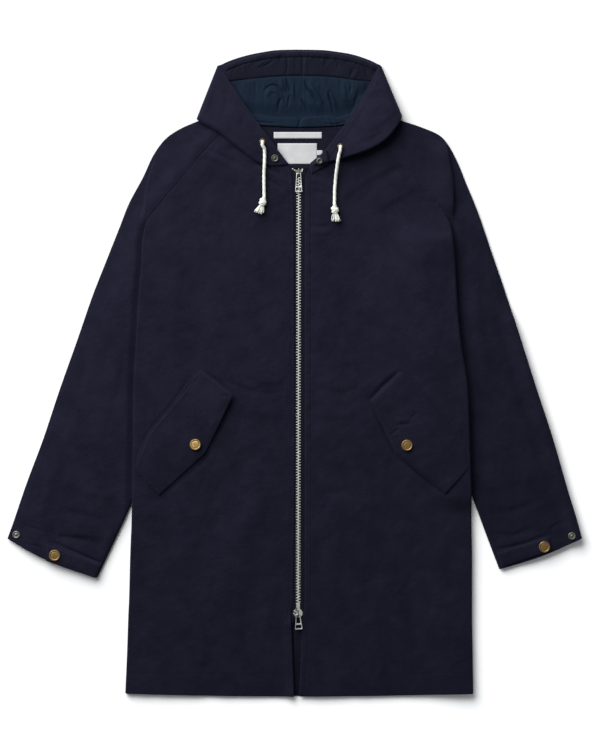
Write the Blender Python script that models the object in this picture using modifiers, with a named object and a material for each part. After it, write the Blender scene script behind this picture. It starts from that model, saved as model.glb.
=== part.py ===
"""Hooded raincoat with raglan sleeves, zipped and laid flat with its front up.

X runs across the coat, +Y towards the hood and +Z up from the surface that the coat lies on.
Lengths below are millimetres, and MM turns them into Blender's metres.
"""

import math
from collections import namedtuple

import bmesh
import bpy
from mathutils import Vector
from mathutils.bvhtree import BVHTree

MM = 0.001
SIDES = ("left", "right")

# Driving thicknesses and clearances.
WALL = 1.5  # shell cloth, doubled where it is hemmed
THIN = 1.0  # lining, facing, zip guard and zip tape
LABEL = 0.6
GAP = 0.3  # between two pieces that touch
HOLLOW = 1.3  # air between the two walls of a flattened sleeve

# Heights of the middle of each cloth wall, from the surface up.
BACK_LEVEL = WALL / 2
FACING_LEVEL = WALL + GAP + THIN / 2
TAPE_LEVEL = FACING_LEVEL + THIN + GAP
FRONT_LEVEL = TAPE_LEVEL + THIN / 2 + GAP + WALL / 2
SLEEVE_LOW = WALL + GAP + WALL / 2
SLEEVE_RISE = WALL + HOLLOW
SLEEVE_HIGH = SLEEVE_LOW + SLEEVE_RISE
SLEEVE_FOOT = WALL / 2 + 0.05
FRONT_OVER_SLEEVE = SLEEVE_HIGH + WALL + GAP
FOLD_RISE = 1.05  # how far a side fold stands above what it covers

# The hem dips at the middle of the coat.
HEM_Y = -532.6
HEM_LIFT = 5.0
HEM_HALF = 285.0

# Front and back panels share these sections, from the hem to the neck.
# outer: side fold, then the raglan seam. inner: front edge, then the neckline.
# tuck: how far the sleeve runs in under the front from its outer edge.
# fold: 1 where the outer edge is a fold, 0 where it is the raglan seam.
# over: 1 where a sleeve lies under that edge.
Section = namedtuple("Section", "y outer inner tuck fold over")
FRONT = {
    "left": (
        Section(-528, -278, -1, 0, 1, 0),
        Section(-456, -275, -4, 0, 1, 0),
        Section(-396, -273, -6, 0, 1, 0),
        Section(-375, -272, -3, 0, 1, 0),
        Section(-300, -270, -2, 0, 1, 0),
        Section(-250, -268, -1, 0, 1, 0),
        Section(-216, -267, -1, 4, 1, 1),
        Section(-177, -266, 0, 16, 1, 1),
        Section(-111, -265, 0, 36, 1, 1),
        Section(-28, -264, 0, 53, 1, 1),
        Section(54, -260, 0, 56, 1, 1),
        Section(125, -256, -1, 53, 1, 1),
        Section(181, -251, -1, 38, 1, 1),
        Section(214, -250, -1, 30, 1, 1),
        Section(247, -243, -1, 19, 0.3, 1),
        Section(286, -215, -2, 14, 0, 1),
        Section(318, -188, -4, 13, 0, 1),
        Section(341, -169, -9, 13, 0, 1),
        Section(366, -148, -52, 13, 0, 1),
        Section(390, -125, -81, 13, 0, 1),
        Section(411, -104, -100, 3, 0, 1),
    ),
    "right": (
        Section(-528, 294, 9, 0, 1, 0),
        Section(-461, 293, 12, 0, 1, 0),
        Section(-401, 292, 15, 0, 1, 0),
        Section(-375, 292, 18, 0, 1, 0),
        Section(-300, 292, 18, 0, 1, 0),
        Section(-235, 291, 18, 0, 1, 0),
        Section(-201, 291, 18, 4, 1, 1),
        Section(-165, 290, 18, 16, 1, 1),
        Section(-100, 288, 18, 38, 1, 1),
        Section(-28, 285, 18, 54, 1, 1),
        Section(54, 273, 18, 56, 1, 1),
        Section(125, 267, 18, 52, 1, 1),
        Section(181, 264, 18, 40, 1, 1),
        Section(214, 261, 18, 29, 1, 1),
        Section(247, 255, 18, 21, 0.3, 1),
        Section(284, 228, 18.4, 14, 0, 1),
        Section(316, 204, 19, 13, 0, 1),
        Section(341, 181, 27.4, 13, 0, 1),
        Section(366, 158, 66, 13, 0, 1),
        Section(390, 134, 92, 13, 0, 1),
        Section(411, 115, 111, 3, 0, 1),
    ),
}
INNER_COLUMNS = 5  # of a front, between the tucked sleeve and the zip
TUCK_ROOM = 4.0  # a front stays high this far past the tucked sleeve
FALL_WIDTH = 12.0  # and comes most of the way down within this
FOLD_EDGE = 0.3  # how far the edge of a side fold stands out past its foot
FOLD_REACH = 6.0  # and how far in it is rounded
NECK_END_WIDTH = 50.0  # a front narrower than this lies level on the sleeve
NECK_POINT_WIDTH = 12.0  # and one narrower than this has evenly spaced columns
RAGLAN_Y = 250.0  # above it the outer edge is the raglan seam
BACK_LAP = 12.0  # the back reaches this far out under the sleeve at the raglan seam
LAP_FADE = (20.0, 420.0, 25.0)  # it grows over the first, and fades over the last below the second
BACK_NECK = ((-104.0, 412.0), (-57.0, 406.0), (4.0, 403.0), (82.0, 406.0), (115.0, 412.0))

# Sleeve stations, from the neck to the cuff.
# seam: raglan edge under the front, then the underarm fold. edge: the outer silhouette.
# step: height of the shoulder pleat. closed: 1 past the underarm, where the sleeve is a tube.
Station = namedtuple("Station", "seam_x seam_y edge_x edge_y step closed")
SLEEVE = {
    "left": (
        Station(-103, 410, -105, 434, 0, 0),
        Station(-118, 383, -157, 415, 0, 0),
        Station(-142, 358, -189, 401, 0, 0),
        Station(-163, 333, -211, 386, 0, 0),
        Station(-181, 310, -231, 360, 1.2, 0),
        Station(-206, 279, -249, 322, 2.0, 0),
        Station(-228, 243, -272.5, 278, 0, 0),
        Station(-223, 208, -287, 241, 0, 0),
        Station(-214, 166, -310, 183, 0, 0),
        Station(-204, 125, -332, 127, 0, 0),
        Station(-205, 54, -355.5, 59, 0, 1),
        Station(-214, -28, -387, -30, 0, 1),
        Station(-232, -111, -414, -111, 0, 1),
        Station(-255, -180, -434, -164, 0, 1),
        Station(-266, -208, -443.5, -190, 0, 1),
        Station(-280, -241, -452, -215, 0, 1),
        Station(-301, -286, -462.5, -246, 0, 1),
        Station(-325, -337, -472, -273, 0, 1),
    ),
    "right": (
        Station(114, 410, 116, 434, 0, 0),
        Station(133, 377, 176, 415, 0, 0),
        Station(160, 350, 207, 405, 0, 0),
        Station(182, 325, 240, 390, 0, 0),
        Station(199, 304, 255, 372, 1.2, 0),
        Station(221, 275, 270, 343, 2.0, 0),
        Station(238, 243, 282, 313, 0, 0),
        Station(234, 208, 302, 264, 0, 0),
        Station(226, 166, 324, 200, 0, 0),
        Station(217, 125, 347, 133, 0, 0),
        Station(219, 54, 372, 55, 0, 1),
        Station(234, -28, 399, -30, 0, 1),
        Station(254, -108, 423, -103, 0, 1),
        Station(278, -172, 439, -158, 0, 1),
        Station(291, -196, 445.5, -181, 0, 1),
        Station(300, -221, 452, -203, 0, 1),
        Station(318, -270, 463, -238, 0, 1),
        Station(338, -323, 472, -272, 0, 1),
    ),
}
SHOULDER_FOLD = {  # the line where the sleeve's yoke folds under, as x for each y
    "left": ((247, -249), (290, -246), (320, -241), (346, -232), (365, -227)),
    "right": ((247, 260), (302, 262), (330, 259), (346, 256), (376, 251)),
}
BACK_TOP = 412.0  # the back's highest point, where the two sleeves meet the hood
SLEEVE_DROP_FROM = 7.0  # outside the back the sleeve comes down to the surface,
SLEEVE_DROP_TO = 20.0  # between these two distances
SLEEVE_COLUMNS = 4  # of each sleeve wall, outside the drop
PLEAT_STEEP = 0.8  # a pleat rises from this far before its line,
PLEAT_TOP = 2.4  # to this far past it

# Hood halves. Each column runs from the face edge at the rim to the neck.
# rim, neck: its two ends. lift: height over the surface at the rim, half way and at the neck.
HoodColumn = namedtuple("HoodColumn", "rim_x rim_y neck_x neck_y lift_rim lift_half lift_neck")
FLAT = BACK_LEVEL + 0.05
HOOD = {
    "left": (
        HoodColumn(4.2, 532.6, 4.2, 403.8, FLAT, FLAT, FLAT),
        HoodColumn(-25, 532.0, -30, 405.4, FLAT, FLAT, FLAT),
        HoodColumn(-53, 528.3, -62, 407.6, FLAT, FLAT, FLAT),
        HoodColumn(-80, 522.6, -92, 413.0, FLAT, FLAT, FLAT),
        HoodColumn(-100, 516.5, -99, 432.0, FLAT, FLAT, FLAT),
        HoodColumn(-112, 511.8, -108, 436.2, FLAT, FLAT, FLAT),
        HoodColumn(-121, 507.5, -152, 420.5, FLAT, FLAT, FLAT),
        HoodColumn(-125.4, 506.2, -158.3, 419.0, 1.5, 2.4, 3.0),
        HoodColumn(-126.2, 505.8, -160.3, 418.4, 2.4, 5.0, 6.6),
        HoodColumn(-125.6, 505.4, -158, 416.0, 3.3, 7.6, 10.4),
        HoodColumn(-124.6, 505.0, -148, 410.0, 4.0, 9.2, 12.6),
        HoodColumn(-124.2, 504.6, -123, 396.0, 4.2, 10.4, 13.4),
        HoodColumn(-123.8, 504.2, -90, 370.0, 4.2, 11.2, 12.6),
        HoodColumn(-123.4, 503.8, -57, 346.5, 4.2, 11.6, 9.4),
        HoodColumn(-123.0, 503.4, -35, 341.6, 4.2, 11.6, 8.2),
        HoodColumn(-122.4, 503.0, -10, 343.6, 4.2, 11.4, 7.8),
    ),
    "right": (
        HoodColumn(4.2, 532.6, 4.2, 403.8, FLAT, FLAT, FLAT),
        HoodColumn(43, 532.0, 40, 405.0, FLAT, FLAT, FLAT),
        HoodColumn(69, 529.2, 74, 406.8, FLAT, FLAT, FLAT),
        HoodColumn(94, 525.0, 104, 413.0, FLAT, FLAT, FLAT),
        HoodColumn(115, 518.6, 109, 432.0, FLAT, FLAT, FLAT),
        HoodColumn(129, 513.0, 120, 436.2, FLAT, FLAT, FLAT),
        HoodColumn(136, 509.4, 168.6, 423.4, FLAT, FLAT, FLAT),
        HoodColumn(141.2, 507.0, 174.6, 423.2, 1.5, 2.4, 3.0),
        HoodColumn(142.4, 505.6, 176.6, 423.0, 2.4, 5.0, 6.8),
        HoodColumn(142.0, 504.6, 175.6, 419.6, 3.3, 7.6, 10.8),
        HoodColumn(141.0, 504.2, 169, 407.0, 4.0, 9.6, 13.4),
        HoodColumn(140.6, 503.9, 148, 382.0, 4.2, 11.2, 14.6),
        HoodColumn(140.2, 503.7, 119, 365.4, 4.2, 12.0, 14.4),
        HoodColumn(139.8, 503.5, 90, 356.0, 4.2, 12.4, 12.6),
        HoodColumn(139.4, 503.3, 62, 349.0, 4.2, 12.2, 9.6),
        HoodColumn(138.8, 503.0, 33, 343.0, 4.2, 11.6, 7.8),
    ),
}
HOOD_ROWS = (0.0, 0.14, 0.3, 0.45, 0.6, 0.74, 0.87, 0.96)
HOOD_FIRST_FREE = 9  # columns from here on end in a rolled edge above the shoulder
HOOD_ROLL = 2.2  # radius of that rolled edge
HOOD_FEEL = 8.0  # the rolled edge rests on the highest point this near

# Facing and lining that show inside the hood, and the back-neck facing below them.
# Each is a table of sections across the coat.
Band = namedtuple("Band", "x low high")
HOOD_FACING = (
    Band(-116, 480.5, 506.0),
    Band(-80, 484.0, 519.6),
    Band(-27, 489.0, 529.0),
    Band(9, 490.0, 530.4),
    Band(58, 488.4, 527.6),
    Band(98, 483.6, 521.0),
    Band(132, 480.0, 507.6),
)
LINING_FOLDS = (  # ridges of the gathered lining: place across, half width and height
    (-88, 9, 1.2),
    (-57, 8, 2.6),
    (-34, 7, 1.8),
    (-8, 6, 2.8),
    (14, 5, 2.4),
    (33, 8, 3.4),
    (58, 7, 2.6),
    (80, 9, 1.8),
)
LINING_MIDDLE = 6.0
LINING_HALF = (70.0, 90.0)  # the ridges fade out between these distances from its middle
LINING_ROLL = (419.0, 11.0, 3.8)  # the roll above the neck seam: place, half width, height
LINING = (
    Band(-104, 442.0, 480.0),
    Band(-95, 437.0, 481.4),
    Band(-84, 413.0, 483.0),
    Band(-57, 407.8, 486.0),
    Band(-27, 406.0, 488.4),
    Band(4, 404.4, 489.4),
    Band(36, 405.0, 489.0),
    Band(66, 407.0, 487.0),
    Band(94, 413.0, 483.2),
    Band(106, 438.0, 481.5),
    Band(118, 442.0, 479.8),
)
NECK_FACING = (
    Band(-70, 378.0, 405.4),
    Band(-48, 352.0, 404.6),
    Band(-22, 343.2, 403.6),
    Band(4, 343.2, 402.6),
    Band(34, 343.2, 403.4),
    Band(60, 352.0, 404.2),
    Band(84, 378.0, 405.0),
)
LABELS = {  # x0, y0, x1, y1
    "label_strip": (-35.0, 385.5, 46.0, 398.0),
    "label_main": (-28.5, 344.5, 37.0, 379.5),
    "label_tab": (37.5, 359.0, 46.0, 366.5),
}

# Zip.
ZIP_TOP = 338.0
ZIP_X_TOP = 8.0
ZIP_X_BOTTOM = 6.0
SLIDER_TOP_Y = 330.0
SLIDER_BOTTOM_Y = -396.0
TEETH_WIDTH = 8.8
TEETH_THICK = 2.5
TAPE_REACH = 14.0  # tape hidden under each front edge
TAPE_ROWS = (300.0, 120.0, -120.0)
GUARD_LEFT = ((342.8, -8.5), (300.0, -6.0), (200.0, -3.0), (-395.0, 1.0), (-531.0, 1.0))
GUARD_RIGHT = 46.0
PLATE = (12.0, 13.0, 2.2)  # slider top plate: across, along, thick
PLATE_NECK = (8.2, 11.0)
BAIL_RADIUS = 2.6
BAIL_WIRE = 0.7
PULL_THICK = 1.4
PULL_EYE = (5.2, -0.9, -6.4)  # the window that its bail runs through: width, high, low
PULL_HEAD = 0.8  # a pull's end past its axis
AXIS_RISE = 1.4  # a pull's axis over its slider's plate
HINGE_BACK = 2.0  # a pull's axis from the middle of its slider, towards the hem
Pull = namedtuple("Pull", "length head foot windows")
PULLS = {
    "top": Pull(30.0, 9.0, 13.0, 2),
    "bottom": Pull(24.0, 9.0, 13.0, 2),
}

# Flaps and straps that lie on a panel, as outlines.
POCKET_FLAP = {
    "left": ((-157, 5), (-101, -37), (-147, -132), (-223, -201), (-262, -161), (-262, -149)),
    "right": ((176, 5), (126, -45), (168, -132), (247, -199), (284, -164), (284, -146)),
}
CUFF_STRAP = {
    "left": ((-408, -280), (-322, -316), (-330, -333.5), (-409, -301)),
    "right": ((334, -296), (419, -270), (426, -290), (343, -319)),
}
SNAP_CAP = {"pocket": (9.4, 3.4), "cuff": (9.4, 3.4)}  # radius, height
STUD = (6.3, 3.2)
SOCKET = (5.8, 2.6)
SNAP_PLACES = {
    "pocket_snap_left": (-163, -118),
    "pocket_snap_right": (185, -119),
    "cuff_snap_left": (-394, -300),
    "cuff_snap_right": (411, -286),
}
STUD_PLACES = {
    "cuff_stud_left": (-456.5, -264),
    "cuff_stud_right": (455.5, -266),
    "throat_stud": (-32, 353),
}
THROAT_TAB = ((33, 331), (31, 349), (49, 364), (56, 346))
THROAT_SOCKET = (41.6, 347.6)
TAB_FEEL = 9.0  # each corner of the tab rests on the highest point this near

# Eyelets and drawcords. A cord's points give its middle: x, y and height over what it lies on.
EYELET = (4.8, 3.2, 1.4)  # outer radius, hole radius, height
EYELET_PLACES = {"left": (-52.5, 380), "right": (75.5, 371.5)}
CORD = 5.6
CORD_SAG = 0.3
CORD_BEND = 5.0  # radius of its first bend
CORD_FALL = 3.4  # most that it comes down from one point to the next
CORD_ROUTE = {  # after the first bend
    "left": ((-52.5, 375), (-48.6, 366), (-49, 346), (-50, 326), (-49.6, 287)),
    "right": ((75.5, 366.5), (72.4, 354), (68.5, 326), (66.5, 302), (66, 274.6)),
}
CORD_STEP = 11.0
CORD_FEEL = (2.5, 7.0)  # a cord rests on the highest point this near, across and along it
KNOT_FEEL = (14.0, 12.0)  # a knot rests on the highest point about its middle, this far down and around
KNOT_PROFILE = (  # along the cord, radius
    (0.0, 4.2),
    (3.0, 6.6),
    (7.5, 7.2),
    (11.5, 5.6),
    (13.5, 4.4),
    (19.0, 6.4),
    (27.0, 8.4),
)
KNOT_TURN = {"left": -0.34, "right": 0.12}  # the tassel lies a little to one side
KNOT_FLATNESS = 0.62  # its height over its width

NAVY = (0.0143, 0.0148, 0.0290)
NAVY_INSIDE = (0.0125, 0.0130, 0.0245)
TEAL = (0.0115, 0.0225, 0.0420)
COTTON = (0.78, 0.77, 0.72)
WHITE = (0.80, 0.81, 0.81)
BRASS = (0.42, 0.30, 0.13)
NICKEL = (0.60, 0.58, 0.55)


def clear_scene():
    for old in list(bpy.data.objects):
        bpy.data.objects.remove(old, do_unlink=True)


def new_collection(name):
    made = bpy.data.collections.new(name)
    bpy.context.scene.collection.children.link(made)
    return made


def principled(name, colour, roughness, metallic=0.0):
    made = bpy.data.materials.new(name)
    made.use_nodes = True
    shader = made.node_tree.nodes["Principled BSDF"]
    shader.inputs["Base Color"].default_value = (*colour, 1.0)
    shader.inputs["Roughness"].default_value = roughness
    shader.inputs["Metallic"].default_value = metallic
    made.diffuse_color = (*colour, 1.0)
    return made


def add_mesh_object(name, mesh_data, finish):
    made = bpy.data.objects.new(name, mesh_data)
    mesh_data.materials.clear()
    mesh_data.materials.append(finish)
    COAT.objects.link(made)
    made.parent = ROOT
    return made


def object_from_bmesh(name, shape, finish):
    data = bpy.data.meshes.new(name)
    shape.to_mesh(data)
    shape.free()
    return add_mesh_object(name, data, finish)


def lerp(low, high, share):
    return low + (high - low) * share


def clamp(value, low, high):
    return max(low, min(high, value))


def table_value(rows, where, key, value):
    """Reads one column of a table between its rows."""
    ordered = sorted(rows, key=key)
    if where <= key(ordered[0]):
        return value(ordered[0])
    for low, high in zip(ordered, ordered[1:]):
        if where <= key(high):
            share = (where - key(low)) / (key(high) - key(low))
            return lerp(value(low), value(high), share)
    return value(ordered[-1])


def line_value(points, where):
    """Reads a table of (place, value) pairs between its rows."""
    return table_value(points, where, lambda p: p[0], lambda p: p[1])


def hem_y(y, x):
    """Sections near the hem follow its dip."""
    dip = HEM_LIFT * ((x - 4.0) / HEM_HALF) ** 2
    share = clamp((y + 528.0) / 100.0, 0.0, 1.0)
    return lerp(HEM_Y + dip, y, share)


def grid_mesh(columns, rows, place):
    """A grid whose point (column, row) stands at place(column, row), in millimetres."""
    shape = bmesh.new()
    bmesh.ops.create_grid(shape, x_segments=columns, y_segments=rows, size=0.5)
    for point in shape.verts:
        column = round((point.co.x + 0.5) * columns)
        row = round((point.co.y + 0.5) * rows)
        point.co = Vector(place(column, row)) * MM
    bmesh.ops.remove_doubles(shape, verts=shape.verts, dist=1e-6)
    return shape


def thicken(made, wall):
    solid = made.modifiers.new("Cloth wall", "SOLIDIFY")
    solid.thickness = wall * MM
    solid.offset = 0.0
    solid.use_even_offset = True
    solid.use_rim = True


def cloth(name, columns, rows, place, wall, finish, upward=True):
    """A cloth piece: an open grid that Solidify turns into a wall."""
    shape = grid_mesh(columns, rows, place)
    first = shape.faces[:][0]
    first.normal_update()
    if (first.normal.z > 0) != upward:
        bmesh.ops.reverse_faces(shape, faces=shape.faces)
    made = object_from_bmesh(name, shape, finish)
    thicken(made, wall)
    return made


def tree_of(pieces):
    bpy.context.view_layer.update()
    graph = bpy.context.evaluated_depsgraph_get()
    return [BVHTree.FromObject(piece, graph) for piece in pieces]


def top_of(trees, x, y):
    """The height in millimetres of the highest of these pieces at (x, y), or 0."""
    found = 0.0
    for tree in trees:
        hit = tree.ray_cast(Vector((x, y, 500.0)) * MM, Vector((0.0, 0.0, -1.0)))[0]
        if hit is not None:
            found = max(found, hit.z / MM)
    return found


def patch(name, base, outline, lift, wall, finish):
    """A piece that lies on a panel: the panel's own faces inside a convex outline, moved up."""
    shape = bmesh.new()
    shape.from_mesh(base.data)
    under = [face for face in shape.faces if face.normal.z < 0.5]
    bmesh.ops.delete(shape, geom=under, context="FACES")
    area = sum(a[0] * b[1] - b[0] * a[1] for a, b in zip(outline, outline[1:] + outline[:1]))
    turn = 1.0 if area > 0 else -1.0
    for a, b in zip(outline, outline[1:] + outline[:1]):
        outward = Vector((b[1] - a[1], a[0] - b[0], 0.0)) * turn
        bmesh.ops.bisect_plane(
            shape,
            geom=shape.verts[:] + shape.edges[:] + shape.faces[:],
            dist=1e-7,
            plane_co=Vector((a[0], a[1], 0.0)) * MM,
            plane_no=outward.normalized(),
            clear_outer=True,
        )
    bmesh.ops.translate(shape, verts=shape.verts, vec=Vector((0.0, 0.0, lift * MM)))
    bmesh.ops.remove_doubles(shape, verts=shape.verts, dist=2e-5)
    made = object_from_bmesh(name, shape, finish)
    thicken(made, wall)
    return made


def turned(name, profile, finish, place, steps=16):
    """A turned piece: (radius, height) pairs down the outer side, spun about Z."""
    data = bpy.data.meshes.new(name)
    points = [Vector((radius, 0.0, height)) * MM for radius, height in profile]
    edges = [(i, i + 1) for i in range(len(points) - 1)]
    data.from_pydata(points, edges, [])
    made = add_mesh_object(name, data, finish)
    spin = made.modifiers.new("Turn", "SCREW")
    spin.steps = steps
    spin.render_steps = steps
    spin.use_merge_vertices = True
    spin.merge_threshold = 1e-6
    spin.use_smooth_shade = False
    made.location = Vector(place) * MM
    return made


def box(name, size, place, finish):
    shape = bmesh.new()
    bmesh.ops.create_cube(shape, size=1.0)
    bmesh.ops.scale(shape, verts=shape.verts, vec=Vector(size) * MM)
    made = object_from_bmesh(name, shape, finish)
    made.location = Vector(place) * MM
    return made


def tube(name, points, radius, finish, resolution=2):
    data = bpy.data.curves.new(name, "CURVE")
    data.dimensions = "3D"
    data.bevel_depth = radius * MM
    data.bevel_resolution = resolution
    data.use_fill_caps = True
    spline = data.splines.new("POLY")
    spline.points.add(len(points) - 1)
    for target, point in zip(spline.points, points):
        target.co = (*(Vector(point) * MM), 1.0)
    data.materials.append(finish)
    made = bpy.data.objects.new(name, data)
    COAT.objects.link(made)
    made.parent = ROOT
    return made


def curve_to_mesh(curve):
    """Makes a curve object a mesh with its caps welded, so that a Boolean can take it."""
    bpy.context.view_layer.update()
    graph = bpy.context.evaluated_depsgraph_get()
    data = bpy.data.meshes.new_from_object(curve.evaluated_get(graph))
    shape = bmesh.new()
    shape.from_mesh(data)
    bmesh.ops.remove_doubles(shape, verts=shape.verts, dist=1e-6)
    shape.to_mesh(data)
    shape.free()
    name = curve.name
    finish = curve.data.materials[0]
    bpy.data.objects.remove(curve, do_unlink=True)
    return add_mesh_object(name, data, finish)


def as_helper(piece):
    """Takes a piece out of the coat, for use by a Boolean only."""
    COAT.objects.unlink(piece)
    HELPERS.objects.link(piece)
    piece.hide_render = True
    piece.display_type = "WIRE"


def boolean(target, other, operation):
    step = target.modifiers.new(operation.title(), "BOOLEAN")
    step.operation = operation
    step.solver = "EXACT"
    step.object = other


# Body panels.


def back_side(side, y):
    """The back's outer edge: the side fold, then the raglan seam with its lap."""
    rows = FRONT[side]
    outer = table_value(rows, y, lambda s: s.y, lambda s: s.outer)
    grow, neck, fade = LAP_FADE
    lap = BACK_LAP * clamp((y - RAGLAN_Y) / grow, 0.0, 1.0) * clamp((neck - y) / fade, 0.0, 1.0)
    return outer - lap if side == "left" else outer + lap


def build_back():
    """One flat piece, whose underside is what the coat rests on."""
    rows = [section.y for section in FRONT["left"]]
    columns = 8

    def place(column, row):
        y = rows[row]
        left = back_side("left", y)
        right = back_side("right", y)
        x = lerp(left, right, column / columns)
        if row == len(rows) - 1:
            y = line_value(BACK_NECK, x)
        return (x, hem_y(y, x), BACK_LEVEL)

    return cloth("back", columns, len(rows) - 1, place, WALL, FINISH["navy"])


def front_profile(section, width):
    """(distance in from the outer edge, height) pairs of one section of a front."""
    lift = FRONT_OVER_SLEEVE + FOLD_RISE * section.fold if section.over else FRONT_LEVEL
    foot = SLEEVE_HIGH + WALL / 2 + 1.5 * GAP if section.over else WALL + GAP
    seam = FRONT_OVER_SLEEVE
    fold = section.fold
    level_to = max(min(section.tuck + TUCK_ROOM, width / 2), FOLD_REACH + 0.5)
    edge = WALL / 2
    bulge = edge + FOLD_EDGE + (1 - fold) * 0.5
    profile = [
        (edge, lerp(seam, foot, fold)),
        (bulge, lerp(seam, lerp(foot, lift, 0.55), fold)),
        (FOLD_REACH / 2, lerp(seam, lift - 0.4, fold)),
        (FOLD_REACH, lift),
        (level_to, lift),
        (level_to + min(FALL_WIDTH, width / 5), lerp(FRONT_LEVEL, lift, 0.35)),
    ]
    if width < NECK_POINT_WIDTH:
        profile = [(width * 0.15 * i, seam) for i in range(len(profile))]
    if width < NECK_END_WIDTH:
        profile = [(reach, seam) for reach, _ in profile]
    return profile, seam if width < NECK_END_WIDTH else FRONT_LEVEL


def build_front(side):
    sections = FRONT[side]
    inward = 1.0 if side == "left" else -1.0

    def place(column, row):
        section = sections[row]
        width = abs(section.inner - section.outer)
        profile, inner_level = front_profile(section, width)
        if column < len(profile):
            reach, height = profile[column]
        else:
            start, from_height = profile[-1]
            share = (column - len(profile) + 1) / INNER_COLUMNS
            reach = lerp(start, width, share)
            height = lerp(from_height, inner_level, clamp(share * 3.0, 0.0, 1.0))
        x = section.outer + inward * reach
        return (x, hem_y(section.y, x), height)

    columns = 5 + INNER_COLUMNS
    return cloth("front_" + side, columns, len(sections) - 1, place, WALL, FINISH["navy"])


# Sleeves.


def beyond_back(side, x, y):
    """How far (x, y) lies outside the back panel."""
    edge = back_side(side, min(y, BACK_TOP - 1.0))
    out = edge - x if side == "left" else x - edge
    return math.hypot(max(out, 0.0), y - BACK_TOP) if y > BACK_TOP else out


def share_at(station, reach):
    """How far along a station (0 seam, 1 outer edge) the test function reach() turns positive."""
    low, high = 0.0, 1.0
    for _ in range(24):
        middle = (low + high) / 2
        x = lerp(station.seam_x, station.edge_x, middle)
        y = lerp(station.seam_y, station.edge_y, middle)
        if reach(x, y) > 0:
            high = middle
        else:
            low = middle
    return high


def sleeve_low(side, x, y):
    out = beyond_back(side, x, y)
    share = clamp((out - SLEEVE_DROP_FROM) / (SLEEVE_DROP_TO - SLEEVE_DROP_FROM), 0.0, 1.0)
    return lerp(SLEEVE_LOW, SLEEVE_FOOT, share)


def sleeve_shares(side, station):
    """Where a station's columns stand, from the seam (0) to the start of the outer fold."""
    length = math.hypot(station.edge_x - station.seam_x, station.edge_y - station.seam_y)
    radius = SLEEVE_RISE / 2 / length
    last = 1.0 - radius

    def past(distance):
        return lambda x, y: beyond_back(side, x, y) - distance

    def past_fold(x, y):
        fold = line_value(SHOULDER_FOLD[side], y)
        return fold - x if side == "left" else x - fold

    first = radius
    drop_from = clamp(share_at(station, past(SLEEVE_DROP_FROM)), first + 0.03, 0.6 * last)
    drop_to = clamp(share_at(station, past(SLEEVE_DROP_TO)), drop_from + 0.03, 0.75 * last)
    if station.step:
        fold = min(share_at(station, past_fold), last - 5.0 / length)
        top = fold + PLEAT_TOP / length
        marks = [first, drop_from, (drop_from + fold) / 2, fold - PLEAT_STEEP / length, top]
        return marks + [(top + last) / 2, last], 4
    marks = [first, drop_from, drop_to]
    for i in range(1, SLEEVE_COLUMNS + 1):
        marks.append(lerp(drop_to, last, i / SLEEVE_COLUMNS))
    return marks, None


def build_sleeve(side):
    stations = SLEEVE[side]
    walls = 7  # columns of each wall
    turn = ((0.62, 0.5), (1.0, 0.0), (0.62, -0.5))  # outer fold: out, up, in radii

    def at(station, share):
        x = lerp(station.seam_x, station.edge_x, share)
        y = lerp(station.seam_y, station.edge_y, share)
        return x, y

    def place(column, row):
        station = stations[row]
        marks, stepped = sleeve_shares(side, station)
        length = math.hypot(station.edge_x - station.seam_x, station.edge_y - station.seam_y)
        last = 2 * walls + len(turn) + 1
        if column in (0, last):
            x, y = at(station, 0.0)
            low = sleeve_low(side, x, y)
            if station.closed:
                return (x, y, low + SLEEVE_RISE / 2)
            return (x, y, low + (SLEEVE_RISE if column == 0 else 0.0))
        if column <= walls:
            x, y = at(station, marks[column - 1])
            height = sleeve_low(side, x, y) + SLEEVE_RISE
            if stepped and 1 < column <= stepped:
                over = sleeve_low(side, *at(station, marks[stepped])) + SLEEVE_RISE
                rise = (0.0, 0.0, 0.4, 0.8, 1.0)[column]
                height = max(height, over + station.step * rise)
            return (x, y, height)
        if column <= walls + len(turn):
            out, up = turn[column - walls - 1]
            radius = SLEEVE_RISE / 2
            x, y = at(station, 1.0 - (1.0 - out) * radius / length)
            low = sleeve_low(side, *at(station, marks[-1]))
            return (x, y, low + radius + up * 1.6 * radius)
        x, y = at(station, marks[last - 1 - column])
        return (x, y, sleeve_low(side, x, y))

    columns = 2 * walls + len(turn) + 1
    rows = len(stations) - 1
    return cloth("sleeve_" + side, columns, rows, place, WALL, FINISH["navy"])


# Hood.


def hood_point(column, share):
    """A point of a hood column, at this share of the way from the rim to the neck."""
    x = lerp(column.rim_x, column.neck_x, share)
    y = lerp(column.rim_y, column.neck_y, share)
    if share < 0.5:
        lift = lerp(column.lift_rim, column.lift_half, share * 2)
    else:
        lift = lerp(column.lift_half, column.lift_neck, share * 2 - 1)
    return x, y, lift


def build_hood(side, under):
    columns = HOOD[side]
    rolled = 3  # rows of the rolled lower edge
    outward = -GAP / 2 if side == "left" else GAP / 2

    def place(number, row):
        column = columns[number]
        if row < len(HOOD_ROWS):
            x, y, lift = hood_point(column, HOOD_ROWS[row])
        else:
            step = row - len(HOOD_ROWS)
            length = math.hypot(column.neck_x - column.rim_x, column.neck_y - column.rim_y)
            back_off = (HOOD_ROLL * (1.0, 0.3, 0.0)[step]) / length
            x, y, lift = hood_point(column, 1.0 - back_off)
            if number >= HOOD_FIRST_FREE:
                rest = seat(under, x, y, HOOD_FEEL)
                fall = (0.05, 0.4, 1.0)[step]
                lift = lerp(lift, min(rest + GAP, lift), fall)
        if number == 0:
            x += outward
        return (x, y, lift)

    rows = len(HOOD_ROWS) + rolled - 1
    return cloth("hood_" + side, len(columns) - 1, rows, place, WALL, FINISH["navy"])


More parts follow.
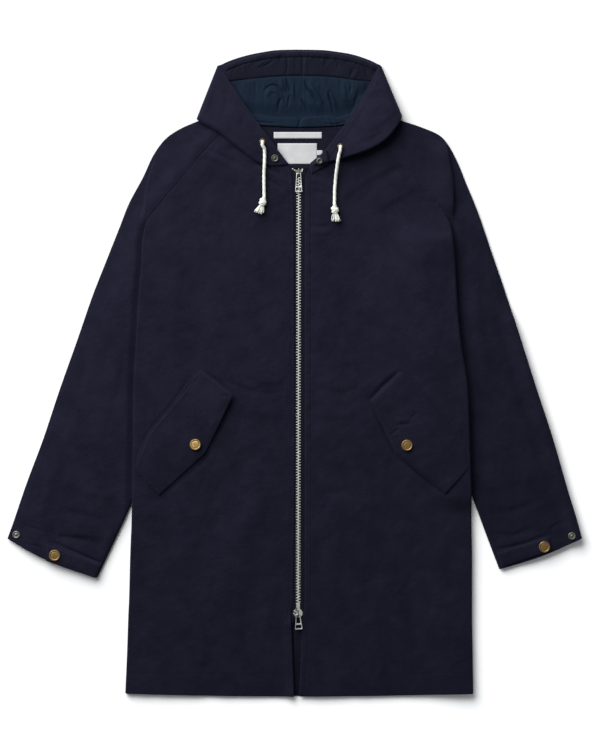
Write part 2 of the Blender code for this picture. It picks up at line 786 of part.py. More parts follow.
def band_piece(name, bands, level, wall, finish, rows=1, relief=None):
    """A piece made of sections across the coat, each from its low to its high edge."""

    def place(column, row):
        band = bands[column]
        y = lerp(band.low, band.high, row / rows)
        lift = relief(band.x, y, row / rows) if relief else 0.0
        return (band.x, y, level + lift)

    return cloth(name, len(bands) - 1, rows, place, wall, finish)


def finer(bands, step):
    """The same sections with others between them, at most this far apart."""
    made = []
    for low, high in zip(bands, bands[1:]):
        pieces = max(1, math.ceil((high.x - low.x) / step))
        for i in range(pieces):
            share = i / pieces
            made.append(Band(*(lerp(a, b, share) for a, b in zip(low, high))))
    made.append(bands[-1])
    return made


def lining_relief(x, y, share):
    """Upright ridges of the gathered lining, and the roll that lies above the neck seam."""
    ridges = 0.0
    for middle, half, height in LINING_FOLDS:
        ridges = max(ridges, height * clamp(1.0 - abs(x - middle) / half, 0.0, 1.0))
    place, half, height = LINING_ROLL
    roll = height * clamp(1.0 - abs(y - place) / half, 0.0, 1.0)
    near, far = LINING_HALF
    inside = clamp((far - abs(x - LINING_MIDDLE)) / (far - near), 0.0, 1.0)
    along = clamp(math.sin(math.pi * share) * 1.6, 0.0, 1.0)
    if roll > 1.0:
        return inside * roll
    return inside * max(ridges * along, roll)


def build_inside():
    band_piece("hood_facing", HOOD_FACING, FACING_LEVEL, THIN, FINISH["inside"])
    band_piece("hood_lining", finer(LINING, 7.0), FACING_LEVEL, THIN, FINISH["teal"], 8, lining_relief)
    facing = band_piece("neck_facing", NECK_FACING, FACING_LEVEL, THIN, FINISH["inside"])
    lift = THIN / 2 + GAP + LABEL / 2
    for name, (x0, y0, x1, y1) in LABELS.items():
        corners = ((x0, y0), (x1, y0), (x1, y1), (x0, y1))
        patch(name, facing, corners, lift, LABEL, FINISH["white"])


# Zip.


def zip_x(y):
    return lerp(ZIP_X_BOTTOM, ZIP_X_TOP, clamp((y - HEM_Y) / (ZIP_TOP - HEM_Y), 0.0, 1.0))


def front_edge(side, y):
    return table_value(FRONT[side], y, lambda s: s.y, lambda s: s.inner)


def strip(name, edges, level, wall, finish):
    """A strip along the zip from (y, left x, right x) rows."""

    def place(column, row):
        y, left, right = edges[row]
        return ((left, right)[column], y, level)

    return cloth(name, 1, len(edges) - 1, place, wall, finish)


def build_zip():
    half = TEETH_WIDTH / 2
    top = SLIDER_TOP_Y - PLATE[1] / 2 - GAP
    bottom = SLIDER_BOTTOM_Y + PLATE[1] / 2 + GAP
    teeth_level = TAPE_LEVEL - THIN / 2 + TEETH_THICK / 2
    rows = [(y, zip_x(y) - half, zip_x(y) + half) for y in (bottom, top)]
    strip("zip_teeth", rows, teeth_level, TEETH_THICK, FINISH["nickel"])

    closed = (ZIP_TOP, *TAPE_ROWS, SLIDER_BOTTOM_Y - 8.0)
    for side, turn in (("left", -1.0), ("right", 1.0)):
        rows = []
        for y in closed:
            near = zip_x(y) + turn * (half + GAP)
            far = front_edge(side, y) + turn * TAPE_REACH
            rows.append((y, min(near, far), max(near, far)))
        y = HEM_Y + 4.0
        near = front_edge(side, y) + turn * 1.0
        far = front_edge(side, y) + turn * TAPE_REACH
        rows.append((y, min(near, far), max(near, far)))
        strip("zip_tape_" + side, rows[::-1], TAPE_LEVEL, THIN, FINISH["inside"])

    rows = [(y, x, GUARD_RIGHT) for y, x in GUARD_LEFT]
    strip("zip_guard", rows[::-1], FACING_LEVEL, THIN, FINISH["inside"])


def build_slider(end, y):
    """A slider body with its bail, and the pull that swings on it."""
    x = zip_x(y)
    across, along, thick = PLATE
    bottom = TAPE_LEVEL + THIN / 2 + GAP
    plate_top = bottom + thick
    axis_height = plate_top + AXIS_RISE
    hinge_y = y - HINGE_BACK

    body = box("slider_" + end, (across, along, thick), (x, y, bottom + thick / 2), FINISH["nickel"])
    neck_low = FACING_LEVEL + THIN / 2 + GAP
    neck_size = (PLATE_NECK[0], PLATE_NECK[1], bottom - neck_low + 0.5)
    neck_middle = (x, y, (neck_low + bottom + 0.5) / 2)
    neck = box("slider_neck_" + end, neck_size, neck_middle, FINISH["nickel"])
    foot = plate_top - 0.5
    arch = [(x, hinge_y + BAIL_RADIUS, foot)]
    for i in range(9):
        angle = math.pi * i / 8
        arch.append(
            (x, hinge_y + BAIL_RADIUS * math.cos(angle), axis_height + BAIL_RADIUS * math.sin(angle))
        )
    arch.append((x, hinge_y - BAIL_RADIUS, foot))
    bail = curve_to_mesh(tube("slider_bail_" + end, arch, BAIL_WIRE, FINISH["nickel"], 1))
    for other in (neck, bail):
        boolean(body, other, "UNION")
        as_helper(other)

    pull = PULLS[end]
    outline = (
        (-pull.head / 2, PULL_HEAD),
        (pull.head / 2, PULL_HEAD),
        (pull.foot / 2, 4.0 - pull.length),
        (pull.foot / 2 - 1.5, PULL_HEAD - pull.length),
        (1.5 - pull.foot / 2, PULL_HEAD - pull.length),
        (-pull.foot / 2, 4.0 - pull.length),
    )
    data = bpy.data.curves.new("pull_" + end, "CURVE")
    data.dimensions = "2D"
    data.fill_mode = "BOTH"
    data.extrude = PULL_THICK / 2 * MM
    windows = [PULL_EYE]
    reach = pull.length - 4.0
    for i in range(pull.windows - 1):
        windows.append((pull.foot - 5.0, -(reach * 0.5 + i), -reach + 0.6))
    loops = [outline]
    for width, high, low in windows:
        loops.append(((-width / 2, high), (-width / 2, low), (width / 2, low), (width / 2, high)))
    for loop in loops:
        spline = data.splines.new("POLY")
        spline.points.add(len(loop) - 1)
        spline.use_cyclic_u = True
        for target, (px, py) in zip(spline.points, loop):
            target.co = (px * MM, py * MM, 0.0, 1.0)
    data.materials.append(FINISH["nickel"])
    made = bpy.data.objects.new("pull_" + end, data)
    COAT.objects.link(made)
    made.parent = ROOT
    made.location = Vector((x, hinge_y, axis_height)) * MM


# Fastenings and trims.


def cap_profile(radius, height):
    return (
        (0.0, height),
        (radius * 0.45, height * 0.93),
        (radius * 0.8, height * 0.72),
        (radius, height * 0.3),
        (radius * 0.97, 0.0),
        (0.0, 0.0),
    )


def stud_profile(radius, height):
    return (
        (0.0, height * 0.55),
        (radius * 0.22, height),
        (radius * 0.34, height),
        (radius * 0.42, height * 0.5),
        (radius * 0.8, height * 0.5),
        (radius, height * 0.25),
        (radius, 0.0),
        (0.0, 0.0),
    )


def eyelet_profile():
    outer, hole, height = EYELET
    middle = (outer + hole) / 2
    return (
        (hole, 0.0),
        (hole, height * 0.7),
        (middle, height),
        (outer, height * 0.5),
        (outer, 0.0),
        (hole, 0.0),
    )


def seat(trees, x, y, radius):
    """The lowest height at which a disc of this radius clears the pieces under it."""
    found = top_of(trees, x, y)
    for i in range(16):
        angle = math.tau * i / 16
        found = max(found, top_of(trees, x + radius * math.cos(angle), y + radius * math.sin(angle)))
    return found + GAP


def build_snaps(trees):
    for name, (x, y) in SNAP_PLACES.items():
        radius, height = SNAP_CAP[name.split("_")[0]]
        turned(name, cap_profile(radius, height), FINISH["brass"], (x, y, seat(trees, x, y, radius)))
    for name, (x, y) in STUD_PLACES.items():
        radius, height = STUD
        low = seat(trees, x, y, radius)
        turned(name, stud_profile(radius, height), FINISH["nickel"], (x, y, low))


def build_throat_tab(trees):
    """The throat tab lies folded back on the right front, with its snap socket up."""
    foot, near, tip, far = THROAT_TAB

    def place(column, row):
        start = lerp(foot[0], far[0], column / 2), lerp(foot[1], far[1], column / 2)
        end = lerp(near[0], tip[0], column / 2), lerp(near[1], tip[1], column / 2)
        x = lerp(start[0], end[0], row / 2)
        y = lerp(start[1], end[1], row / 2)
        return (x, y, seat(trees, x, y, TAB_FEEL) + WALL / 2)

    tab = cloth("throat_tab", 2, 2, place, WALL, FINISH["inside"])
    x, y = THROAT_SOCKET
    radius, height = SOCKET
    low = seat(tree_of([tab]), x, y, radius)
    turned("throat_socket", stud_profile(radius, height), FINISH["nickel"], (x, y, low))


def cord_path(side, trees, end_height):
    """The cord's middle: up out of its eyelet, over, and down along what lies under it."""
    route = CORD_ROUTE[side]
    radius = CORD / 2
    x0, y0 = EYELET_PLACES[side]
    start = seat(trees, x0, y0, EYELET[0]) + EYELET[2] + GAP
    path = []
    for i in range(4):
        angle = math.pi / 2 * i / 3
        reach = CORD_BEND * (1.0 - math.cos(angle))
        path.append((x0, y0 - reach, start + CORD_BEND * math.sin(angle)))
    for a, b in zip(route, route[1:]):
        pieces = max(1, round(math.hypot(b[0] - a[0], b[1] - a[1]) / CORD_STEP))
        for i in range(1, pieces + 1):
            x = lerp(a[0], b[0], i / pieces)
            y = lerp(a[1], b[1], i / pieces)
            feel_x, feel_y = CORD_FEEL
            around = [
                top_of(trees, x + i * feel_x, y + j * feel_y) for i in (-1, 0, 1) for j in (-1, 0, 1)
            ]
            rest = max(around) + GAP + radius + CORD_SAG
            path.append((x, y, max(rest, path[-1][2] - CORD_FALL)))
    for i in (-2, -1):
        x, y, _ = path[i]
        path[i] = (x, y, end_height)
    return path


def build_drawcord(side, trees):
    x, y = EYELET_PLACES[side]
    low = seat(trees, x, y, EYELET[0])
    turned("eyelet_" + side, eyelet_profile(), FINISH["brass"], (x, y, low), 20)
    end_x, end_y = CORD_ROUTE[side][-1]
    widest = max(radius for _, radius in KNOT_PROFILE) * KNOT_FLATNESS
    rest = seat(trees, end_x, end_y - KNOT_FEEL[0], KNOT_FEEL[1]) + widest
    tube("drawcord_" + side, cord_path(side, trees, rest), CORD / 2, FINISH["cotton"])
    profile = [(0.0, 0.0)] + [(radius, -along) for along, radius in KNOT_PROFILE]
    profile.append((0.0, -KNOT_PROFILE[-1][0]))
    turn = KNOT_TURN[side]
    clear = GAP + KNOT_PROFILE[0][1] * abs(math.sin(turn))
    made = turned("cord_end_" + side, profile, FINISH["cotton"], (end_x, end_y - clear, rest), 12)
    made.rotation_euler = (-math.pi / 2, 0.0, turn)
    made.scale = (1.0, KNOT_FLATNESS, 1.0)


clear_scene()
COAT = new_collection("Hooded raincoat")
HELPERS = new_collection("Helpers")
ROOT = bpy.data.objects.new("coat", None)
COAT.objects.link(ROOT)
FINISH = {
    "navy": principled("Navy cotton shell", NAVY, 0.85),
    "inside": principled("Navy facing", NAVY_INSIDE, 0.85),
    "teal": principled("Teal lining", TEAL, 0.6),
    "cotton": principled("White cotton cord", COTTON, 0.9),
    "white": principled("White label", WHITE, 0.7),
    "brass": principled("Antique brass", BRASS, 0.4, 1.0),
    "nickel": principled("Nickel", NICKEL, 0.3, 1.0),
}

back_panel = build_back()
sleeves = {side: build_sleeve(side) for side in SIDES}
fronts = {side: build_front(side) for side in SIDES}
panels = [back_panel, *sleeves.values(), *fronts.values()]
panel_trees = tree_of(panels)
hoods = {side: build_hood(side, panel_trees) for side in SIDES}
build_inside()
build_zip()
build_slider("top", SLIDER_TOP_Y)
build_slider("bottom", SLIDER_BOTTOM_Y)
flap_lift = WALL + GAP
flaps = [
    patch("pocket_flap_" + side, fronts[side], POCKET_FLAP[side], flap_lift, WALL, FINISH["navy"])
    for side in SIDES
]
straps = [
    patch("cuff_strap_" + side, sleeves[side], CUFF_STRAP[side], flap_lift, WALL, FINISH["navy"])
    for side in SIDES
]
all_trees = tree_of([*panels, *hoods.values(), *flaps, *straps])
build_snaps(all_trees)
build_throat_tab(all_trees)
for cord_side in SIDES:
    build_drawcord(cord_side, all_trees)
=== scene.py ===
"""Looks of the hooded raincoat: sewn navy cotton, gathered teal lining, zip, snaps and drawcord.

The coat lies flat with its front up. X runs across it, +Y towards the hood and +Z up.
Lengths are millimetres, and MM turns them into metres. Shared sizes repeat the CAD source's.
"""

import math
from collections import namedtuple

import bpy
import numpy as np
from mathutils import Matrix, Vector
from mathutils.bvhtree import BVHTree


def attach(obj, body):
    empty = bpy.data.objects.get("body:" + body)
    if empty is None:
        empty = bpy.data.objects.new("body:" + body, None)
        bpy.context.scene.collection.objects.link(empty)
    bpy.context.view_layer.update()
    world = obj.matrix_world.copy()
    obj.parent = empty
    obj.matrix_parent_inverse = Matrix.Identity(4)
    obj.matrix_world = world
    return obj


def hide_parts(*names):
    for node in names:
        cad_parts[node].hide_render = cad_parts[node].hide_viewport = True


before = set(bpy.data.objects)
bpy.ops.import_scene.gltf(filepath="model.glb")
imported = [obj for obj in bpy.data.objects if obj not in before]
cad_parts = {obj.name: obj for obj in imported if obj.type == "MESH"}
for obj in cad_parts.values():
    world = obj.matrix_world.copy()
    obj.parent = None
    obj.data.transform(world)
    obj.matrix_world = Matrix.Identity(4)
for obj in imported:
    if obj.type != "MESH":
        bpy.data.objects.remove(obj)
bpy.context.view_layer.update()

MM = 0.001
SIDES = ("left", "right")
INWARD = {"left": 1.0, "right": -1.0}  # the way along X from a side to the middle

# Random patterns. A panel adds small numbers to its own for each further pattern.
SEED = {
    "left": {"front": 100, "sleeve": 300, "hood": 500, "flap": 800, "strap": 870, "knot": 5},
    "right": {"front": 200, "sleeve": 400, "hood": 600, "flap": 850, "strap": 880, "knot": 6},
}
SWELL_SEED = 31
FACING_SEED = 700
LINING_SEED = 710
NECK_SEED = 721
LABEL_SEED = 731
GUARD_SEED = 741
TAB_SEED = 900
STITCH_SEED = 17


def table(kind, rows):
    """These rows as named tuples."""
    return tuple(kind(*row) for row in rows)


# Thicknesses and the height of the middle of each cloth wall, as in the CAD source.
WALL = 1.5
THIN = 1.0
LABEL_WALL = 0.6
GAP = 0.3
BACK_LEVEL = 0.75
FACING_LEVEL = 2.3
TAPE_LEVEL = 3.6
FRONT_LEVEL = 5.15
SLEEVE_LOW = 2.55
SLEEVE_RISE = 2.8
SLEEVE_FOOT = 0.8
SLEEVE_HIGH = 5.35
FRONT_OVER_SLEEVE = 7.15

HEM_Y = -532.6
HEM_LIFT = 5.0
HEM_HALF = 285.0
HEM_MIDDLE = 4.0
HEM_FROM = -528.0
HEM_FADE = 100.0
HEM_SEAM = 34.0  # the hem's stitch line, above its edge
BACK_TOP = 412.0
FRONT_TOP = 411.0
BACK_FLAT_TO = 380.0  # from here up the back follows the neckline
BACK_NECK = ((-104.0, 412.0), (-57.0, 406.0), (4.0, 403.0), (82.0, 406.0), (115.0, 412.0))
RAGLAN_Y = 250.0
BACK_LAP = 12.0
LAP_FADE = (20.0, 420.0, 25.0)

# Sections of each front. outer: side fold, then raglan seam. inner: front edge, then neckline.
# tuck: how far the sleeve runs in under it. fold: 1 at the side fold, 0 at the raglan seam.
# over: 1 where its outer part lies on the sleeve.
Section = namedtuple("Section", "y outer inner tuck fold over")
FRONT = {
    "left": table(Section, (
        (-528, -278, -1, 0, 1, 0), (-456, -275, -4, 0, 1, 0), (-396, -273, -6, 0, 1, 0),
        (-375, -272, -3, 0, 1, 0), (-300, -270, -2, 0, 1, 0), (-250, -268, -1, 0, 1, 0),
        (-216, -267, -1, 4, 1, 1), (-177, -266, 0, 16, 1, 1), (-111, -265, 0, 36, 1, 1),
        (-28, -264, 0, 53, 1, 1), (54, -260, 0, 56, 1, 1), (125, -256, -1, 53, 1, 1),
        (181, -251, -1, 38, 1, 1), (214, -250, -1, 30, 1, 1), (247, -243, -1, 19, 0.3, 1),
        (286, -215, -2, 14, 0, 1), (318, -188, -4, 13, 0, 1), (341, -169, -9, 13, 0, 1),
        (366, -148, -52, 13, 0, 1), (390, -125, -81, 13, 0, 1), (411, -104, -100, 3, 0, 1),
    )),
    "right": table(Section, (
        (-528, 294, 9, 0, 1, 0), (-461, 293, 12, 0, 1, 0), (-401, 292, 15, 0, 1, 0),
        (-375, 292, 18, 0, 1, 0), (-300, 292, 18, 0, 1, 0), (-235, 291, 18, 0, 1, 0),
        (-201, 291, 18, 4, 1, 1), (-165, 290, 18, 16, 1, 1), (-100, 288, 18, 38, 1, 1),
        (-28, 285, 18, 54, 1, 1), (54, 273, 18, 56, 1, 1), (125, 267, 18, 52, 1, 1),
        (181, 264, 18, 40, 1, 1), (214, 261, 18, 29, 1, 1), (247, 255, 18, 21, 0.3, 1),
        (284, 228, 18.4, 14, 0, 1), (316, 204, 19, 13, 0, 1), (341, 181, 27.4, 13, 0, 1),
        (366, 158, 66, 13, 0, 1), (390, 134, 92, 13, 0, 1), (411, 115, 111, 3, 0, 1),
    )),
}

# Sleeve stations from the neck to the cuff: the seam or underarm fold, and the outer edge.
# closed: 1 where the sleeve is a tube.
Station = namedtuple("Station", "seam_x seam_y edge_x edge_y closed")
SLEEVE = {
    "left": table(Station, (
        (-103, 410, -105, 434, 0), (-118, 383, -157, 415, 0), (-142, 358, -189, 401, 0),
        (-163, 333, -211, 386, 0), (-181, 310, -231, 360, 0), (-206, 279, -249, 322, 0),
        (-228, 243, -272.5, 278, 0), (-223, 208, -287, 241, 0), (-214, 166, -310, 183, 0),
        (-204, 125, -332, 127, 0), (-205, 54, -355.5, 59, 1), (-214, -28, -387, -30, 1),
        (-232, -111, -414, -111, 1), (-255, -180, -434, -164, 1), (-266, -208, -443.5, -190, 1),
        (-280, -241, -452, -215, 1), (-301, -286, -462.5, -246, 1), (-325, -337, -472, -273, 1),
    )),
    "right": table(Station, (
        (114, 410, 116, 434, 0), (133, 377, 176, 415, 0), (160, 350, 207, 405, 0), (182, 325, 240, 390, 0),
        (199, 304, 255, 372, 0), (221, 275, 270, 343, 0), (238, 243, 282, 313, 0), (234, 208, 302, 264, 0),
        (226, 166, 324, 200, 0), (217, 125, 347, 133, 0), (219, 54, 372, 55, 1), (234, -28, 399, -30, 1),
        (254, -108, 423, -103, 1), (278, -172, 439, -158, 1), (291, -196, 445.5, -181, 1),
        (300, -221, 452, -203, 1), (318, -270, 463, -238, 1), (338, -323, 472, -272, 1),
    )),
}
SHOULDER_FOLD = {  # where the sleeve's yoke folds under, as x for each y
    "left": ((247, -249), (290, -246), (320, -241), (346, -232), (365, -227)),
    "right": ((247, 260), (302, 262), (330, 259), (346, 256), (376, 251)),
}

# Hood halves. Each column runs from the face edge at the rim to the neck, and the last is
# the opening edge. lift: height over the surface at the rim, half way and at the neck.
HoodColumn = namedtuple("HoodColumn", "rim_x rim_y neck_x neck_y lift_rim lift_half lift_neck")
FLAT = 0.8
HOOD = {
    "left": table(HoodColumn, (
        (4.2, 532.6, 4.2, 403.8, FLAT, FLAT, FLAT), (-25, 532.0, -30, 405.4, FLAT, FLAT, FLAT),
        (-53, 528.3, -62, 407.6, FLAT, FLAT, FLAT), (-80, 522.6, -92, 413.0, FLAT, FLAT, FLAT),
        (-100, 516.5, -99, 432.0, FLAT, FLAT, FLAT), (-112, 511.8, -108, 436.2, FLAT, FLAT, FLAT),
        (-121, 507.5, -152, 420.5, FLAT, FLAT, FLAT), (-125.4, 506.2, -158.3, 419.0, 1.5, 2.4, 3.0),
        (-126.2, 505.8, -160.3, 418.4, 2.4, 5.0, 6.6), (-125.6, 505.4, -158, 416.0, 3.3, 8.2, 12.6),
        (-124.6, 505.0, -148, 410.0, 4.0, 10.0, 15.4), (-124.2, 504.6, -123, 396.0, 4.2, 11.2, 16.4),
        (-123.8, 504.2, -90, 370.0, 4.2, 12.0, 15.6), (-123.4, 503.8, -57, 346.5, 4.2, 12.0, 12.0),
        (-123.0, 503.4, -35, 341.6, 4.2, 11.6, 9.4), (-122.4, 503.0, -10, 343.6, 4.2, 11.4, 7.8),
    )),
    "right": table(HoodColumn, (
        (4.2, 532.6, 4.2, 403.8, FLAT, FLAT, FLAT), (43, 532.0, 40, 405.0, FLAT, FLAT, FLAT),
        (69, 529.2, 74, 406.8, FLAT, FLAT, FLAT), (94, 525.0, 104, 413.0, FLAT, FLAT, FLAT),
        (115, 518.6, 109, 432.0, FLAT, FLAT, FLAT), (129, 513.0, 120, 436.2, FLAT, FLAT, FLAT),
        (136, 509.4, 168.6, 423.4, FLAT, FLAT, FLAT), (141.2, 507.0, 174.6, 423.2, 1.5, 2.6, 3.2),
        (142.4, 505.6, 176.6, 423.0, 3.2, 6.5, 8.5), (142.0, 504.6, 175.6, 419.6, 5.4, 11.5, 16.0),
        (141.0, 504.2, 169, 407.0, 7.2, 16.2, 22.4), (140.6, 503.9, 148, 382.0, 8.2, 18.8, 26.6),
        (140.2, 503.7, 119, 365.4, 8.6, 19.2, 26.8), (139.8, 503.5, 90, 356.0, 8.6, 18.0, 21.8),
        (139.4, 503.3, 62, 349.0, 8.0, 15.2, 13.5), (138.8, 503.0, 33, 343.0, 7.8, 13.6, 8.8),
    )),
}
HOOD_BOW = {"left": -3.5, "right": 7.5}  # the opening edge bends outward this far
HOOD_CHANNEL = 11.0  # width of the drawcord channel along the rim
HOOD_ROLL = {"left": 6.6, "right": 0.9}  # how far the roll along the lower edge stands out
HOOD_TUCK = {"left": 1.5, "right": 7.0}  # and how far it comes back in below

Band = namedtuple("Band", "x low high")
HOOD_FACING = table(Band, (
    (-116, 480.5, 506.0), (-80, 484.0, 519.6), (-27, 489.0, 529.0), (9, 490.0, 530.4), (58, 488.4, 527.6),
    (98, 483.6, 521.0), (130, 480.0, 508.6), (139, 479.0, 504.0),
))
LINING = table(Band, (
    (-104, 442.0, 480.0), (-95, 437.0, 481.4), (-84, 413.0, 483.0), (-57, 407.8, 486.0),
    (-27, 406.0, 488.4), (4, 404.4, 489.4), (36, 405.0, 489.0), (66, 407.0, 487.0), (94, 413.0, 483.2),
    (106, 438.0, 481.5), (118, 442.0, 480.8), (129, 448.0, 479.8),
))
NECK_FACING = table(Band, (
    (-70, 378.0, 405.4), (-48, 352.0, 404.6), (-22, 343.2, 403.6), (4, 343.2, 402.6), (34, 343.2, 403.4),
    (60, 352.0, 404.2), (84, 378.0, 405.0),
))
LABELS = {  # x0, y0, x1, y1
    "label_strip": (-33.8, 386.6, 45.0, 396.6),
    "label_main": (-27.5, 344.5, 37.0, 378.0),
    "label_tab": (37.5, 359.0, 46.0, 366.5),
}

# Zip.
ZIP_TOP = 338.0
ZIP_X_TOP = 7.1
ZIP_X_BOTTOM = 6.0
SLIDER_Y = {"top": 330.0, "bottom": -396.0}
TEETH_WIDTH = 8.8
TAPE_REACH = 14.0
GUARD_LEFT = ((342.8, -8.5), (300.0, -6.0), (200.0, -3.0), (-395.0, 1.0), (-531.0, 1.0))
GUARD_RIGHT = 46.0
PLATE_THICK = 2.2
AXIS_RISE = 1.4
HINGE_BACK = 2.0
PULL_THICK = 1.4
SLIDER_NECK = (6.6, 8.4)
SLIDER_RIB = (2.2, 5.2, 1.3)
SLIDER_RIB_PLACE = 3.2  # up the plate from its middle
SLIDER_NIB = (1.4, 1.4, 0.8)
SLIDER_NIB_PLACE = 6.0
BAIL_HALF = (2.7, 2.5)  # half its length, and its height
BAIL_STEPS = 17
BAIL_RADIUS = 0.85
SLIDER = {  # half widths of the plate and their places along it, from the top down
    "top": ((3.2, 4.6), (4.8, 3.6), (4.9, -0.5), (4.2, -4.0), (3.8, -5.6)),
    "bottom": (
        (2.8, 12.6), (3.4, 11.6), (3.7, 7.6), (5.4, 5.8),
        (7.4, 1.5), (7.7, -1.5), (6.2, -5.4), (3.4, -7.0),
    ),
}
OPEN_TEETH = (  # the last teeth above the top slider stand apart
    ((4.6, 329.6), (2.6, 332.6), (-0.6, 334.6), (-4.4, 337.0)),
    ((11.6, 330.6), (12.4, 333.0), (13.6, 336.0)),
)
# windows: half width and place, at the top and at the foot. turn: how askew it hangs, in degrees.
# shift: how far its windows lie off its middle.
Pull = namedtuple("Pull", "outline windows turn shift")
PULL = {
    "top": Pull(
        ((3.0, 0.8), (3.9, -0.8), (4.4, -12.0), (5.0, -20.0), (5.6, -24.0), (5.9, -29.4), (5.3, -30.2)),
        ((2.7, -0.9, 3.9, -20.8), (4.4, -23.4, 4.8, -28.6)),
        0.0,
        -0.1,
    ),
    "bottom": Pull(
        ((3.0, 0.8), (3.7, -0.6), (4.4, -8.0), (5.2, -14.6), (5.7, -19.0), (6.2, -23.8), (5.7, -24.5)),
        ((2.4, -0.9, 3.7, -14.4), (4.3, -17.0, 4.8, -22.6)),
        3.0,
        -0.4,
    ),
}
WING = ((-1, 10), (2.6, 8), (6.6, 3.5), (7.4, 0), (6.8, -3.5), (3.6, -6.4), (0, -7), (-1.8, -3), (-1.8, 4))
RIDGES = (  # what stands proud of the bottom slider's plate, given the paler nickel as a painted highlight
    WING,
    ((-2.8, 16.5), (2.8, 16.5), (3.2, 9), (-3.2, 9)),
    ((-7.6, 4.0), (-2.4, 0.4), (-1.8, 2.0), (-6.2, 5.6)),
    ((-8.4, -0.2), (-7.6, 1.2), (-1.6, -4.2), (-2.4, -5.8)),
)

# Flaps and straps: the sewn edge runs from the first point to the last,
# and the free edge goes through those between. A flap's sewn edge bends through FLAP_BEND.
POCKET_FLAP = {
    "left": ((-157, 5), (-101, -37), (-147, -132), (-223, -201), (-263.5, -157)),
    "right": ((176, 5), (126, -45), (168, -132), (247, -199), (287, -155)),
}
FLAP_BEND = {
    "left": ((-203, -56), (-240, -102)),
    "right": ((218, -48.5), (245, -79.5), (284, -134.5)),
}
CUFF_STRAP = {
    "left": ((-319, -315), (-327, -337), (-409, -308.5), (-408, -281)),
    "right": ((334, -296), (343, -319), (426, -290), (419, -270)),
}
SNAP_CAP = (9.4, 3.4)  # radius, height
STUD = (6.3, 3.2)
SOCKET = (5.8, 2.6)
SNAP_PLACES = {
    "pocket_snap_left": (-163, -118),
    "pocket_snap_right": (185, -119),
    "cuff_snap_left": (-394, -300),
    "cuff_snap_right": (411, -286),
}
SNAP_LEAN = {"pocket_snap_left": (0.12, -0.13)}
STUD_PLACES = {
    "cuff_stud_left": (-458, -266.5),
    "cuff_stud_right": (456, -268),
    "throat_stud": (-32, 353),
}
THROAT_TAB = ((29, 329), (26.5, 345.5), (52.5, 366.5), (56, 343.5))
THROAT_TAB_LIFT = 2.0
TAB_STEP = 1.1
TAB_COLUMNS = 22
TAB_INSET = 3.0  # of its stitches
THROAT_SOCKET = (41.6, 347.6)

# Eyelets and drawcords.
EYELET = (4.8, 3.2, 1.4)  # outer radius, hole radius, height
EYELET_PLACES = {"left": (-52.5, 380), "right": (75.5, 371.5)}
CORD = 5.6
CORD_BEND = 5.0
CORD_ROUTE = {
    "left": ((-52.5, 375), (-48.6, 366), (-49, 346), (-50, 326), (-49.6, 287)),
    "right": ((75.5, 366.5), (72.4, 354), (68.5, 326), (66.5, 302), (66, 274.6)),
}
KNOT_TURN = {"left": -0.34, "right": 0.12}  # how askew a knot hangs, in radians
TASSEL_STRANDS = 46
